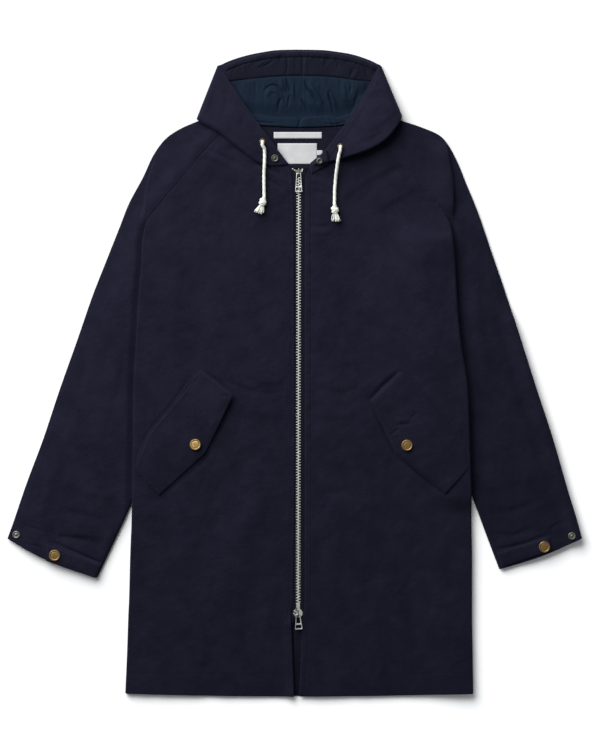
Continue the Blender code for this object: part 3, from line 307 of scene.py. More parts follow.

# Creases, listed one by one. path: points on the panel. half: half width. height: under 0 for a
# trough. steep: how much narrower its shaded side is.
Crease = namedtuple("Crease", "path half height steep")
FRONT_CREASES = {
    "left": table(Crease, (
        (((-182, 389), (-149, 370), (-111, 354), (-78, 337)), 6, -1.5, 0.6),
        (((-176, 372), (-140, 358), (-108, 343)), 9, 1.6, 0.8),
        (((-112, 374), (-89, 366), (-47, 347)), 4.5, -1.8, 0.8),
        (((-110, 356), (-60, 326), (-16, 286)), 26, 3.4, 0.9),
        (((-74, 348), (-47, 339), (-8, 323)), 2.8, -4.0, 0.7),
        (((-66, 338), (-40, 329), (-14, 312)), 4.5, 2.2, 0.8),
        (((-62, 328), (-38, 316), (-16, 300)), 2.8, -3.4, 0.7),
        (((-150, 330), (-110, 312), (-60, 300)), 16, -1.1, 0.8),
        (((-226, 262), (-205, 225), (-196, 150), (-204, 60)), 16, 0.8, 0.8),
        (((-120, 260), (-105, 170), (-118, 60)), 20, 1.2, 0.8),
        (((-60, 250), (-45, 150), (-58, 40)), 15, -1.0, 0.9),
        (((-128, -8), (-95, -20), (-60, -34)), 6, -1.2, 0.6),
        (((-96, -48), (-60, -64), (-20, -70)), 12, 1.1, 0.8),
        (((-30, -12), (-75, -30), (-130, 8)), 9, -0.8, 0.7),
        (((-60, -120), (-110, -180), (-160, -300), (-175, -380)), 24, -1.9, 0.7),
        (((-20, -150), (-70, -240), (-110, -390)), 26, 1.8, 0.8),
        (((-240, -220), (-225, -330), (-235, -460)), 20, 1.4, 0.8),
        (((-60, -330), (-80, -420), (-70, -500)), 18, -1.2, 0.8),
        (((-170, -390), (-150, -450), (-160, -505)), 16, 1.1, 0.7),
        (((-24, 120), (-60, 96), (-110, 90)), 11, -0.9, 0.8),
        (((-124, -4), (-168, -92), (-228, -176)), 48, 1.2, 0.9),
        (((-157, 8), (-127, -13), (-97, -36)), 3, -2.4, 0.8),
        (((-161, 7), (-206, -55), (-243, -101), (-264, -146)), 2.4, -1.5, 0.8),
        (((-96, -42), (-121, -92), (-144, -138), (-182, -172), (-226, -208)), 3.4, -1.4, 0.8),
        (((-12, -6), (-34, -16), (-66, -12)), 6, 0.9, 0.7),
        (((-14, -28), (-40, -34), (-72, -28)), 5, -0.8, 0.7),
    )),
    "right": table(Crease, (
        (((206, 350), (180, 341), (125, 308), (70, 268)), 13, -2.4, 0.7),
        (((226, 318), (180, 296), (120, 262)), 14, 1.5, 0.7),
        (((24, 330), (38, 326), (54, 316)), 3.5, -1.4, 0.7),
        (((22, 318), (36, 316), (58, 304)), 4, 1.2, 0.7),
        (((24, 300), (46, 297), (78, 286)), 6, -1.0, 0.7),
        (((24, 246), (40, 241), (60, 243)), 4, -1.0, 0.6),
        (((26, 232), (44, 229), (66, 233)), 5, 0.9, 0.6),
        (((262, 214), (240, 150), (236, 40)), 15, 1.0, 0.8),
        (((150, 240), (140, 150), (155, 40)), 20, 1.2, 0.8),
        (((78, 230), (86, 120), (74, 20)), 17, -1.2, 0.8),
        (((140, -4), (186, -92), (240, -176)), 50, 3.6, 0.9),
        (((176, 5), (146, -20), (121, -48)), 6, -3.6, 0.6),
        (((124, -45), (146, -92), (167, -133), (206, -167), (245, -200)), 4.6, -5.2, 0.7),
        (((180, 7), (220, -47), (248, -80), (284, -128)), 2.8, -3.4, 0.9),
        (((169, -136), (206, -169), (244, -202)), 3.4, -3.6, 0.7),
        (((120, -52), (70, -72), (28, -66)), 11, 1.0, 0.8),
        (((30, -18), (76, -34), (112, -22)), 8, -0.9, 0.8),
        (((120, -110), (140, -220), (120, -360)), 24, -1.5, 0.8),
        (((60, -120), (70, -260), (50, -420)), 22, 1.4, 0.8),
        (((262, -230), (240, -330), (250, -470)), 22, 1.5, 0.8),
        (((200, -260), (190, -360), (205, -480)), 18, -1.3, 0.8),
        (((160, -330), (130, -400), (150, -500)), 18, 1.2, 0.7),
        (((28, 24), (60, 14), (104, 22)), 9, 0.8, 0.8),
        (((26, -190), (54, -200), (96, -188)), 9, -0.8, 0.8),
    )),
}
SLEEVE_CREASES = {
    "left": table(Crease, (
        (((-235, 366), (-247, 320), (-254, 268), (-257, 236)), 4, -1.6, 0.5),
        (((-300, 150), (-285, 60), (-300, -30)), 18, 1.5, 0.8),
        (((-340, 60), (-352, -20), (-380, -110)), 16, -1.3, 0.8),
        (((-270, 60), (-290, -40), (-320, -130)), 15, -1.3, 0.8),
        (((-400, -140), (-405, -190), (-425, -240)), 13, 1.3, 0.8),
        (((-286, -205), (-330, -200), (-378, -180)), 11, 1.1, 0.7),
        (((-300, -244), (-340, -236), (-392, -222)), 9, -1.2, 0.7),
        (((-392, -270), (-358, -271), (-312, -276)), 7, -2.4, 0.7),
        (((-400, -277), (-350, -299), (-314, -314)), 3, -3.0, 0.8),
        (((-365, -272), (-335, -280), (-312, -292)), 11, -2.0, 0.7),
        (((-444, -281), (-428, -284), (-412, -287)), 3, -1.0, 0.7),
        (((-444, -252), (-430, -255), (-416, -262)), 4, -1.1, 0.6),
        (((-405, -252), (-398, -262), (-392, -276)), 4, -1.1, 0.6),
        (((-290, -150), (-330, -120), (-370, -112)), 13, 0.9, 0.8),
    )),
    "right": table(Crease, (
        (((255, 384), (260, 330), (264, 280), (266, 236)), 5, -2.2, 0.5),
        (((300, 200), (300, 100), (318, 0)), 16, 1.5, 0.8),
        (((350, 80), (360, 0), (384, -90)), 15, -1.3, 0.8),
        (((296, 20), (312, -70), (344, -150)), 15, -1.2, 0.8),
        (((410, -120), (418, -170), (434, -220)), 12, 1.2, 0.8),
        (((300, -190), (340, -186), (392, -170)), 11, 1.0, 0.7),
        (((316, -232), (360, -226), (404, -208)), 9, -1.1, 0.7),
        (((322, -262), (356, -266), (396, -252)), 6, -1.7, 0.6),
        (((326, -292), (372, -282), (416, -266)), 3, -2.4, 0.8),
        (((436, -246), (428, -250), (420, -260)), 4, -1.0, 0.6),
        (((306, -140), (346, -118), (384, -110)), 13, 0.9, 0.8),
    )),
}
HOOD_CREASES = {
    "left": table(Crease, (
        (((-150, 436), (-128, 425), (-104, 400), (-78, 378)), 7, 1.2, 0.7),
        (((-118, 470), (-112, 448), (-116, 424)), 8, -1.0, 0.7),
        (((-100, 440), (-88, 420), (-84, 402)), 4, -0.8, 0.6),
        (((-132, 484), (-138, 456), (-146, 432)), 6, 0.9, 0.7),
        (((-70, 386), (-52, 366), (-38, 356)), 5, -0.9, 0.7),
    )),
    "right": table(Crease, (
        (((116, 458), (132, 463), (152, 466)), 4, 1.0, 0.5),
        (((112, 446), (130, 452), (154, 450)), 6, -0.9, 0.7),
        (((168, 436), (146, 414), (112, 396)), 10, 1.2, 0.8),
        (((150, 398), (120, 380), (92, 374)), 6, -1.0, 0.7),
        (((146, 488), (156, 462), (164, 440)), 6, 0.8, 0.7),
    )),
}
LINING_CREASES = table(Crease, (  # gathers of the lining, as they fall below the facing
    (((-66, 481), (-70, 460), (-64, 438)), 8, -1.4, 0.7),
    (((-52, 461), (-45, 471), (-34, 475), (-26, 469), (-19, 460), (-15, 442)), 2.2, -2.6, 0.6),
    (((-46, 455), (-38, 464), (-29, 462), (-23, 450)), 5.0, 1.8, 0.6),
    (((-23, 453), (-27, 440), (-26, 427)), 2.8, -4.0, 0.6),
    (((-13.4, 489), (-12, 478), (-6, 461)), 2.7, -4.0, 0.6),
    (((-22, 487), (-20, 476), (-15, 465)), 4.0, 1.8, 0.6),
    (((-5, 486), (-2, 470), (-2, 448)), 3.5, 1.6, 0.6),
    (((-7, 460), (-10, 448), (-12, 434)), 2.4, -1.8, 0.6),
    (((16, 484), (21, 469), (29, 459), (38, 442)), 2.5, -3.8, 0.6),
    (((26, 481), (31, 468), (39, 456), (47, 443)), 5.0, 2.8, 0.5),
    (((10, 451), (17, 440), (26, 424)), 2.7, -3.8, 0.6),
    (((38, 479), (50, 470), (60, 458), (67, 440), (72, 428)), 6.0, 2.4, 0.6),
    (((55, 464), (59, 448), (64, 432), (67, 422)), 3.0, -4.2, 0.6),
    (((89, 484), (93, 472), (90, 459)), 2.2, -2.2, 0.7),
    (((93, 440), (94, 431), (92, 424)), 3.4, -3.6, 0.8),
    (((112, 482), (117, 477), (123, 468)), 2.2, -2.2, 0.7),
    (((80, 478), (84, 462), (84, 446)), 4.5, 1.5, 0.6),
))
ROLL_CREASES = table(Crease, (
    (((-72, 415), (-50, 413), (-28, 411)), 1.8, -1.6, 0.7),
    (((48, 411), (65, 410), (86, 414)), 1.8, -1.6, 0.7),
))
FACING_CREASES = table(Crease, (
    (((-88, 514), (-82, 506), (-82, 494)), 3.0, 1.0, 0.6),
    (((-63, 503), (-55, 509), (-47, 515)), 3.4, 1.3, 0.6),
    (((-52, 505), (-43, 510), (-34, 518)), 2.4, -2.2, 0.6),
    (((-24, 524), (-25, 518), (-22, 511)), 2.2, -1.9, 0.7),
    (((-13, 528), (-13.4, 518), (-12, 510), (-15, 489)), 2.3, -2.2, 0.6),
    (((13, 525), (12.6, 508), (14, 487)), 2.1, -2.2, 0.7),
    (((20, 520), (19, 508), (21, 492)), 3.0, 1.2, 0.6),
    (((48, 521), (51, 512), (49, 503)), 2.4, -1.3, 0.7),
    (((66, 520), (71, 510), (70, 497)), 2.6, -1.3, 0.6),
    (((97, 503), (93, 494), (90, 485)), 2.4, -2.2, 0.6),
    (((105, 500), (102, 492), (98, 485)), 3.2, 1.4, 0.6),
    (((113, 506), (117, 497), (120, 488)), 2.2, -2.1, 0.6),
))


# Numbers.


def smooth_step(low, high, where):
    share = np.clip((where - low) / (high - low), 0.0, 1.0)
    return share * share * (3.0 - 2.0 * share)


def between(where, low, full, full_to, high):
    """Rises from 0 at low to 1 at full, and falls from 1 at full_to to 0 at high."""
    return smooth_step(low, full, where) * smooth_step(high, full_to, where)


def mix(low, high, share):
    return low + (high - low) * share


def bump(off, width):
    """1 on a line, and fading to 0 at about twice this width off it."""
    return np.exp(-((off / width) ** 2))


def hump(x, y, place, spread):
    """The same round a place. spread: the square of its width."""
    return np.exp(-(((x - place[0]) ** 2 + (y - place[1]) ** 2) / spread))


def column(rows, name):
    return [getattr(row, name) for row in rows]


def run_of(path):
    """Lengths along a path, from 0 at its start."""
    return np.concatenate([[0.0], np.cumsum(np.linalg.norm(np.diff(path, axis=0), axis=1))])


def smooth_value(places, values, where):
    """Reads a table between its rows on a smooth curve that never overshoots."""
    places = np.asarray(places, float)
    values = np.asarray(values, float)
    where = np.asarray(where, float)
    step = np.diff(places)
    slope = np.diff(values) / step
    before, after = slope[:-1], slope[1:]
    turning = before * after <= 0.0
    total = np.where(turning, 1.0, before + after)
    tangent = np.empty_like(values)
    tangent[0] = slope[0]
    tangent[-1] = slope[-1]
    tangent[1:-1] = np.where(turning, 0.0, 2.0 * before * after / total)
    i = np.clip(np.searchsorted(places, where, side="right") - 1, 0, len(step) - 1)
    t = np.clip((where - places[i]) / step[i], 0.0, 1.0)
    low = (1.0 + 2.0 * t) * (1.0 - t) ** 2 * values[i] + t * (1.0 - t) ** 2 * step[i] * tangent[i]
    high = t * t * (3.0 - 2.0 * t) * values[i + 1] + t * t * (t - 1.0) * step[i] * tangent[i + 1]
    return low + high


def smooth_pairs(pairs, where):
    """Reads a line of (place, value) pairs."""
    places, values = zip(*pairs)
    return smooth_value(places, values, where)


def smooth_path(points, count):
    """That many points, evenly spaced, on a smooth line through these."""
    points = np.asarray(points, float)
    along = run_of(points)
    where = np.linspace(0.0, along[-1], count)
    return np.stack([smooth_value(along, points[:, k], where) for k in range(points.shape[1])], 1)


def spaced(low, high, step, dense=()):
    """Places from low to high at this step, closer together in the dense (place, half, step) parts."""
    fine = np.linspace(low, high, 4000)
    local = np.full_like(fine, step)
    for place, half, close in dense:
        local = np.where(np.abs(fine - place) < half, np.minimum(local, close), local)
    total = np.concatenate([[0.0], np.cumsum(np.diff(fine) / local[1:])])
    return np.interp(np.linspace(0.0, total[-1], int(math.ceil(total[-1])) + 1), total, fine)


CLOUD_CELLS = 97


def cloud(x, y, cell, seed):
    """Smooth random numbers from -1 to 1, in lumps about this many millimetres across."""
    lattice = np.random.default_rng(seed).uniform(-1.0, 1.0, (CLOUD_CELLS, CLOUD_CELLS))
    u = np.asarray(x, float) / cell + 13.7
    v = np.asarray(y, float) / cell + 31.3
    i, j = np.floor(u).astype(int), np.floor(v).astype(int)
    s, t = u - i, v - j
    s = s * s * (3.0 - 2.0 * s)
    t = t * t * (3.0 - 2.0 * t)
    i0, j0 = i % CLOUD_CELLS, j % CLOUD_CELLS
    i1, j1 = (i + 1) % CLOUD_CELLS, (j + 1) % CLOUD_CELLS
    low = mix(lattice[i0, j0], lattice[i1, j0], s)
    high = mix(lattice[i0, j1], lattice[i1, j1], s)
    return mix(low, high, t)


def crumple(x, y, seed, amount=1.0):
    """The uneven lie of cotton cloth that was folded and then smoothed by hand."""
    turned_x = 0.82 * x + 0.57 * y
    turned_y = 0.82 * y - 0.57 * x
    broad = 1.3 * cloud(x, y * 0.6, 74.0, seed)
    middle = 0.75 * cloud(turned_x, turned_y * 0.7, 31.0, seed + 1)
    small = 0.26 * cloud(x, y, 12.0, seed + 2)
    sharp = 0.45 - np.abs(cloud(turned_x, turned_y * 0.6, 47.0, seed + 3))
    sharp = sharp + 0.4 * np.abs(cloud(turned_y, turned_x * 0.7, 23.0, seed + 4))
    return amount * (broad + middle + small + 1.1 * sharp)


SHADED = (0.76, -0.65)  # the way that the light runs over the coat


def distance_to(path, x, y):
    """Distance to a line, place along it from 0 to 1, and how far its shaded side this is, to 1."""
    best = np.full(np.shape(x), 1e9)
    along = np.zeros_like(best)
    side = np.zeros_like(best)
    pieces = len(path) - 1
    for i in range(pieces):
        a, b = path[i], path[i + 1]
        dx, dy = b[0] - a[0], b[1] - a[1]
        length = dx * dx + dy * dy
        if length < 1e-12:
            continue
        t = np.clip(((x - a[0]) * dx + (y - a[1]) * dy) / length, 0.0, 1.0)
        off_x = x - a[0] - t * dx
        off_y = y - a[1] - t * dy
        far = np.hypot(off_x, off_y)
        closer = far < best
        best = np.where(closer, far, best)
        along = np.where(closer, (i + t) / pieces, along)
        shaded = (SHADED[0] * off_x + SHADED[1] * off_y) / np.maximum(far, 1e-6)
        side = np.where(closer, shaded, side)
    return best, along, side


CRISP = 0.72  # narrows the shaded side of every crease
CREASE_POINTS = 14


def crease_relief(x, y, creases):
    """Heights of these creases: each tapers to its ends, and the side in shade is steeper."""
    total = np.zeros(np.shape(x))
    for crease in creases:
        path = smooth_path(crease.path, CREASE_POINTS)
        reach = 3.2 * crease.half
        low, high = path.min(0) - reach, path.max(0) + reach
        near = (x > low[0]) & (x < high[0]) & (y > low[1]) & (y < high[1])
        if not near.any():
            continue
        far, along, side = distance_to(path, x[near], y[near])
        share = smooth_step(-0.4, 0.4, side * np.sign(crease.height))
        width = crease.half * mix(1.0, CRISP * crease.steep, share)
        taper = np.sin(np.pi * np.clip(along, 0.0, 1.0)) ** 0.7
        total[near] += crease.height * taper * bump(far, width)
    return total


# Mesh making.


def placed(name, data):
    made = bpy.data.objects.new(name, data)
    bpy.context.scene.collection.objects.link(made)
    return made


def mesh_object(name, points, faces, material, slot=None, body="coat", smooth=True):
    """A mesh piece from points in millimetres and faces, riding on a CAD body."""
    data = bpy.data.meshes.new(name)
    data.from_pydata((np.asarray(points) * MM).tolist(), [], [tuple(f) for f in faces])
    data.polygons.foreach_set("use_smooth", [smooth] * len(data.polygons))
    data.materials.append(material)
    data.update()
    made = placed(name, data)
    if body:
        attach(made, body)
    return made


def grid_normals(grid):
    across = np.gradient(grid, axis=1)
    along = np.gradient(grid, axis=0)
    normal = np.cross(across, along)
    length = np.linalg.norm(normal, axis=2, keepdims=True)
    return normal / np.maximum(length, 1e-9)


def ring_of(rows, columns):
    """Indices round the border of a grid."""
    index = np.arange(rows * columns).reshape(rows, columns)
    return np.concatenate([index[0, :-1], index[:-1, -1], index[-1, :0:-1], index[:0:-1, 0]])


RIM_BULGE = 0.42  # how far a wall's edge stands out, as a share of its thickness


def outward_of(flat, normal, ring):
    """Unit vectors that point out of a grid along its border."""
    along = np.roll(flat[ring], 1, axis=0) - np.roll(flat[ring], -1, axis=0)
    outward = np.cross(along, normal[ring])
    outward /= np.maximum(np.linalg.norm(outward, axis=1, keepdims=True), 1e-9)
    inward = np.mean(np.sum(outward * (flat[ring] - flat.mean(0)), axis=1)) < 0.0
    return -outward if inward else outward


def wall_faces(rows, columns, ring):
    """Faces of a wall: its top, its underside, and its rim in two bands."""
    count = rows * columns
    index = np.arange(count).reshape(rows, columns)
    quads = np.stack([index[:-1, :-1], index[:-1, 1:], index[1:, 1:], index[1:, :-1]], -1)
    quads = quads.reshape(-1, 4)
    k = np.arange(len(ring))
    after = np.roll(k, -1)
    upper = np.stack([ring[after], ring, 2 * count + k, 2 * count + after], 1)
    lower = np.stack([2 * count + after, 2 * count + k, ring + count, ring[after] + count], 1)
    return np.concatenate([quads, quads[:, ::-1] + count, upper, lower]).tolist()


def cloth_piece(name, grid, wall, material, slot, worn=1.0):
    """A closed wall of cloth round a grid of points, with rounded edges all round.

    The attribute "edge" is worn on the border and fades to 0 one cell in: the material wears there.
    """
    rows, columns = grid.shape[:2]
    ring = ring_of(rows, columns)
    flat = grid.reshape(-1, 3)
    normal = grid_normals(grid).reshape(-1, 3)
    rim = flat[ring] + outward_of(flat, normal, ring) * wall * RIM_BULGE
    points = np.concatenate([flat + normal * wall / 2, flat - normal * wall / 2, rim])
    made = mesh_object(name, points, wall_faces(rows, columns, ring), material, slot)
    edge = np.zeros((rows, columns))
    edge[[0, -1], :] = 1.0
    edge[:, [0, -1]] = 1.0
    values = np.concatenate([edge.ravel(), edge.ravel(), np.ones(len(ring))]) * worn
    attribute = made.data.attributes.new("edge", "FLOAT", "POINT")
    attribute.data.foreach_set("value", values.astype(np.float32))
    return made


def shell_piece(name, grid, look, slot="shell", worn=1.0):
    return cloth_piece(name, grid, WALL, look["shell"], slot, worn)


def tree_of(pieces):
    bpy.context.view_layer.update()
    graph = bpy.context.evaluated_depsgraph_get()
    return [BVHTree.FromObject(piece, graph) for piece in pieces]


RAY_FROM = 400.0  # above everything


def height_at(trees, x, y, fallback=0.0):
    """The highest of these pieces at (x, y), in millimetres."""
    found = None
    for tree in trees:
        hit = tree.ray_cast(Vector((x, y, RAY_FROM)) * MM, Vector((0.0, 0.0, -1.0)))[0]
        if hit is not None:
            found = hit.z / MM if found is None else max(found, hit.z / MM)
    return fallback if found is None else found


def heights(trees, x, y, fallback=0.0):
    flat = [height_at(trees, a, b, fallback) for a, b in zip(np.ravel(x), np.ravel(y))]
    return np.array(flat).reshape(np.shape(x))


def seat(trees, x, y, radius):
    """The lowest height at which a disc of this radius clears what lies under it."""
    around = [(x, y)]
    for reach in (0.5 * radius, radius):
        for i in range(16):
            angle = math.tau * i / 16
            around.append((x + reach * math.cos(angle), y + reach * math.sin(angle)))
    return max(height_at(trees, a, b) for a, b in around) + GAP


TURN_STEPS = 48


def turned_mesh(profile):
    """Points and faces of a profile of (radius, height) pairs, spun about Z."""
    angles = [math.tau * i / TURN_STEPS for i in range(TURN_STEPS)]
    points, faces, rings = [], [], []
    for radius, height in profile:
        ring = [(radius * math.cos(angle), radius * math.sin(angle), height) for angle in angles]
        if radius < 1e-6:
            ring = [(0.0, 0.0, height)]
        rings.append(range(len(points), len(points) + len(ring)))
        points += ring
    for upper, lower in zip(rings, rings[1:]):
        for i in range(TURN_STEPS):
            j = (i + 1) % TURN_STEPS
            if len(upper) == 1:
                faces.append((upper[0], lower[i], lower[j]))
            elif len(lower) == 1:
                faces.append((upper[i], lower[0], upper[j]))
            else:
                faces.append((upper[i], lower[i], lower[j], upper[j]))
    return np.array(points), faces


def ring_faces(rings, steps):
    """Faces between this many rings of this many points each."""
    faces = []
    for start in range(0, (rings - 1) * steps, steps):
        for i in range(steps):
            j = (i + 1) % steps
            faces.append((start + i, start + j, start + steps + j, start + steps + i))
    return faces


def joined(parts):
    """One (points, faces) pair from several."""
    points, faces, start = [], [], 0
    for part_points, part_faces in parts:
        points.append(np.asarray(part_points, float))
        faces += [tuple(i + start for i in face) for face in part_faces]
        start += len(part_points)
    return np.concatenate(points), faces


def block(size, place, chamfer):
    """A box with its edges cut off, as points and faces."""
    half = np.array(size) / 2.0
    signs = (-1, 1)
    corners = [(i, j, k) for i in signs for j in signs for k in signs]
    points = []
    index = {}
    for corner in corners:
        for axis in range(3):
            cut = np.where(np.arange(3) == axis, 0.0, chamfer)
            index[corner, axis] = len(points)
            points.append((half - cut) * corner + place)
    faces = []
    for axis in range(3):
        u, v = (axis + 1) % 3, (axis + 2) % 3
        for sign in signs:
            square = [tuple(np.roll((sign, *way), axis)) for way in ((-1, -1), (1, -1), (1, 1), (-1, 1))]
            faces.append(tuple(index[corner, axis] for corner in square[::sign]))
        for su in signs:
            for sv in signs:
                low, high = (tuple(np.roll((sign, su, sv), axis)) for sign in signs)
                loop = (index[low, u], index[high, u], index[high, v], index[low, v])
                faces.append(loop[::su * sv])
    for corner in corners:
        loop = tuple(index[corner, axis] for axis in range(3))
        faces.append(loop[::corner[0] * corner[1] * corner[2]])
    return np.array(points), faces


def tube_mesh(path, radius_at, steps):
    """Points and faces of a closed tube along a path. radius_at(along, angles) gives radii."""
    path = np.asarray(path, float)
    tangent = np.gradient(path, axis=0)
    tangent /= np.linalg.norm(tangent, axis=1, keepdims=True)
    side = np.cross(tangent[0], (0.0, 0.0, 1.0))
    if np.linalg.norm(side) < 1e-3:
        side = np.array((1.0, 0.0, 0.0))
    angles = np.linspace(0.0, math.tau, steps, endpoint=False)
    rings = []
    for point, ahead, along in zip(path, tangent, run_of(path)):
        side = side - ahead * np.dot(side, ahead)
        side /= np.linalg.norm(side)
        up = np.cross(side, ahead)
        ring = np.cos(angles)[:, None] * side + np.sin(angles)[:, None] * up
        rings.append(point + ring * np.asarray(radius_at(along, angles))[:, None])
    points = np.concatenate([*rings, path[[0, -1]]])
    faces = ring_faces(len(path), steps)
    first = len(path) * steps
    foot = first - steps
    for i in range(steps):
        j = (i + 1) % steps
        faces += [(first, j, i), (first + 1, foot + i, foot + j)]
    return points, faces


# Materials.


def feed(tree, node, inputs):
    """Links or sets a node's inputs. inputs: a socket or a value for each name or number."""
    for name, value in inputs.items():
        if isinstance(value, bpy.types.NodeSocket):
            tree.links.new(value, node.inputs[name])
        else:
            node.inputs[name].default_value = value


def add_node(tree, kind, inputs=None, **settings):
    made = tree.nodes.new(kind)
    for name, value in settings.items():
        setattr(made, name, value)
    feed(tree, made, inputs or {})
    return made


def new_material(name):
    """A material with only a Principled shader, its tree and its object coordinates."""
    made = bpy.data.materials.new(name)
    made.use_nodes = True
    tree = made.node_tree
    shader = tree.nodes["Principled BSDF"]
    place = add_node(tree, "ShaderNodeTexCoord").outputs["Object"]
    return made, tree, shader, place


def blended(tree, low, high, share):
    ends = [end if isinstance(end, bpy.types.NodeSocket) else (*end, 1.0) for end in (low, high)]
    made = add_node(tree, "ShaderNodeMix", {0: share, 6: ends[0], 7: ends[1]}, data_type="RGBA")
    return made.outputs[2]


def ranged(tree, value, from_low, from_high, to_low, to_high):
    names = ("Value", "From Min", "From Max", "To Min", "To Max")
    inputs = dict(zip(names, (value, from_low, from_high, to_low, to_high)))
    return add_node(tree, "ShaderNodeMapRange", inputs).outputs["Result"]


def noise_at(tree, place, scale, detail=2.0, roughness=0.5):
    inputs = {"Vector": place, "Scale": scale, "Detail": detail, "Roughness": roughness}
    return add_node(tree, "ShaderNodeTexNoise", inputs).outputs["Fac"]


def worked_out(tree, first, second, operation):
    return add_node(tree, "ShaderNodeMath", {0: first, 1: second}, operation=operation).outputs[0]


YARN = 314.0  # the wave texture's scale for a period of one millimetre


def waves_at(tree, place, pitch, settings, **inputs):
    """Ribs of this pitch in millimetres."""
    inputs = {"Vector": place, "Scale": YARN / pitch, **inputs}
    return add_node(tree, "ShaderNodeTexWave", inputs, **settings).outputs["Fac"]


def weave_height(tree, place, pitch):
    """Two crossed sets of yarns of this pitch in millimetres, slightly uneven."""
    uneven = {"Distortion": 1.4, "Detail": 1.0, "Detail Scale": 0.4}
    first, second = (waves_at(tree, place, pitch, {"bands_direction": way}, **uneven) for way in "XY")
    return worked_out(tree, first, second, "MAXIMUM")


def bumped(tree, shader, height, distance, strength, onto=None):
    inputs = {"Height": height, "Distance": distance * MM, "Strength": strength}
    if onto is not None:
        inputs["Normal"] = onto
    normal = add_node(tree, "ShaderNodeBump", inputs).outputs["Normal"]
    feed(tree, shader, {"Normal": normal})
    return normal


# pitch: of the yarns. yarn and grain: how deep the weave and the crinkle are.
Cotton = namedtuple(
    "Cotton", "colour lighter edge roughness specular sheen sheen_tint pitch yarn grain"
)


def cotton_material(name, kind):
    """Woven cloth: cloudy dye, yarns, a fine crinkle, and paler worn edges."""
    made, tree, shader, place = new_material(name)
    patches = ranged(tree, noise_at(tree, place, 30.0, 7.0, 0.68), 0.36, 0.64, 0.0, 1.0)
    slub = noise_at(tree, place, 900.0, 1.0)
    darker = tuple(0.72 * c for c in kind.colour)
    rim = add_node(tree, "ShaderNodeAttribute", attribute_name="edge").outputs["Fac"]
    rubbed = ranged(tree, noise_at(tree, place, 140.0, 3.0), 0.35, 0.7, 0.1, 0.9)
    body = blended(tree, kind.colour, kind.lighter, patches)
    body = blended(tree, body, darker, ranged(tree, slub, 0.42, 0.3, 0.0, 0.45))
    body = blended(tree, body, kind.edge, worked_out(tree, rim, rubbed, "MULTIPLY"))
    feed(tree, shader, {
        "Base Color": body,
        "Roughness": ranged(tree, slub, 0.3, 0.7, kind.roughness - 0.05, kind.roughness + 0.05),
        "Specular IOR Level": kind.specular,
        "Sheen Weight": kind.sheen,
        "Sheen Roughness": 0.45,
        "Sheen Tint": (*kind.sheen_tint, 1.0),
    })
    crinkle = noise_at(tree, place, 95.0, 5.0, 0.62)
    normal = bumped(tree, shader, crinkle, kind.grain, 0.6)
    middle = worked_out(tree, noise_at(tree, place, 52.0, 4.0, 0.6), 0.5, "SUBTRACT")
    wrinkle = worked_out(tree, middle, 0.0, "ABSOLUTE")
    normal = bumped(tree, shader, wrinkle, 2.4 * kind.grain, 0.6, normal)
    bumped(tree, shader, weave_height(tree, place, kind.pitch), kind.yarn, 0.5, normal)
    return made


def metal_material(name, bright, dark, roughness, patch):
    """Plated metal with a dull patina that gathers in patches."""
    made, tree, shader, place = new_material(name)
    patina = ranged(tree, noise_at(tree, place, patch, 4.0, 0.6), 0.38, 0.66, 0.0, 1.0)
    feed(tree, shader, {
        "Base Color": blended(tree, bright, dark, patina),
        "Roughness": ranged(tree, patina, 0.0, 1.0, roughness, roughness + 0.2),
        "Metallic": 0.8,
    })
    bumped(tree, shader, noise_at(tree, place, 1800.0, 2.0), 0.03, 0.4)
    return made


def thread_material(name, colour, scale):
    """Sewing thread or a twisted cord's fibres."""
    made, tree, shader, place = new_material(name)
    fibres = noise_at(tree, place, scale, 3.0, 0.6)
    darker = tuple(0.62 * c for c in colour)
    feed(tree, shader, {
        "Base Color": blended(tree, darker, colour, ranged(tree, fibres, 0.3, 0.6, 0.0, 1.0)),
        "Roughness": ranged(tree, fibres, 0.3, 0.7, 0.85, 0.95),
        "Specular IOR Level": 0.1,
    })
    bumped(tree, shader, fibres, 0.15, 0.6)
    return made


def label_material():
    """A bare woven label: satin ribs across, slightly soiled."""
    made, tree, shader, place = new_material("Bare woven label")
    soil = noise_at(tree, place, 60.0, 3.0)
    soiled = ranged(tree, soil, 0.35, 0.65, 0.0, 1.0)
    feed(tree, shader, {
        "Base Color": blended(tree, (0.245, 0.25, 0.254), (0.272, 0.278, 0.282), soiled),
        "Roughness": ranged(tree, soil, 0.3, 0.7, 0.55, 0.7),
        "Specular IOR Level": 0.3,
    })
    ribs = waves_at(tree, place, 0.5, {"bands_direction": "Y"}, Distortion=0.6)
    bumped(tree, shader, ribs, 0.08, 0.5)
    return made


def tape_material():
    """Herringbone zip tape."""
    made, tree, shader, place = new_material("Zip tape")
    settings = {"bands_direction": "DIAGONAL", "wave_profile": "TRI"}
    chevron = waves_at(tree, place, 1.1, settings, Distortion=0.0)
    feed(tree, shader, {
        "Base Color": blended(tree, (0.0027, 0.0032, 0.0054), (0.0045, 0.0053, 0.0082), chevron),
        "Roughness": ranged(tree, chevron, 0.0, 1.0, 0.7, 0.8),
        "Specular IOR Level": 0.03,
    })
    bumped(tree, shader, chevron, 0.2, 0.6)
    return made


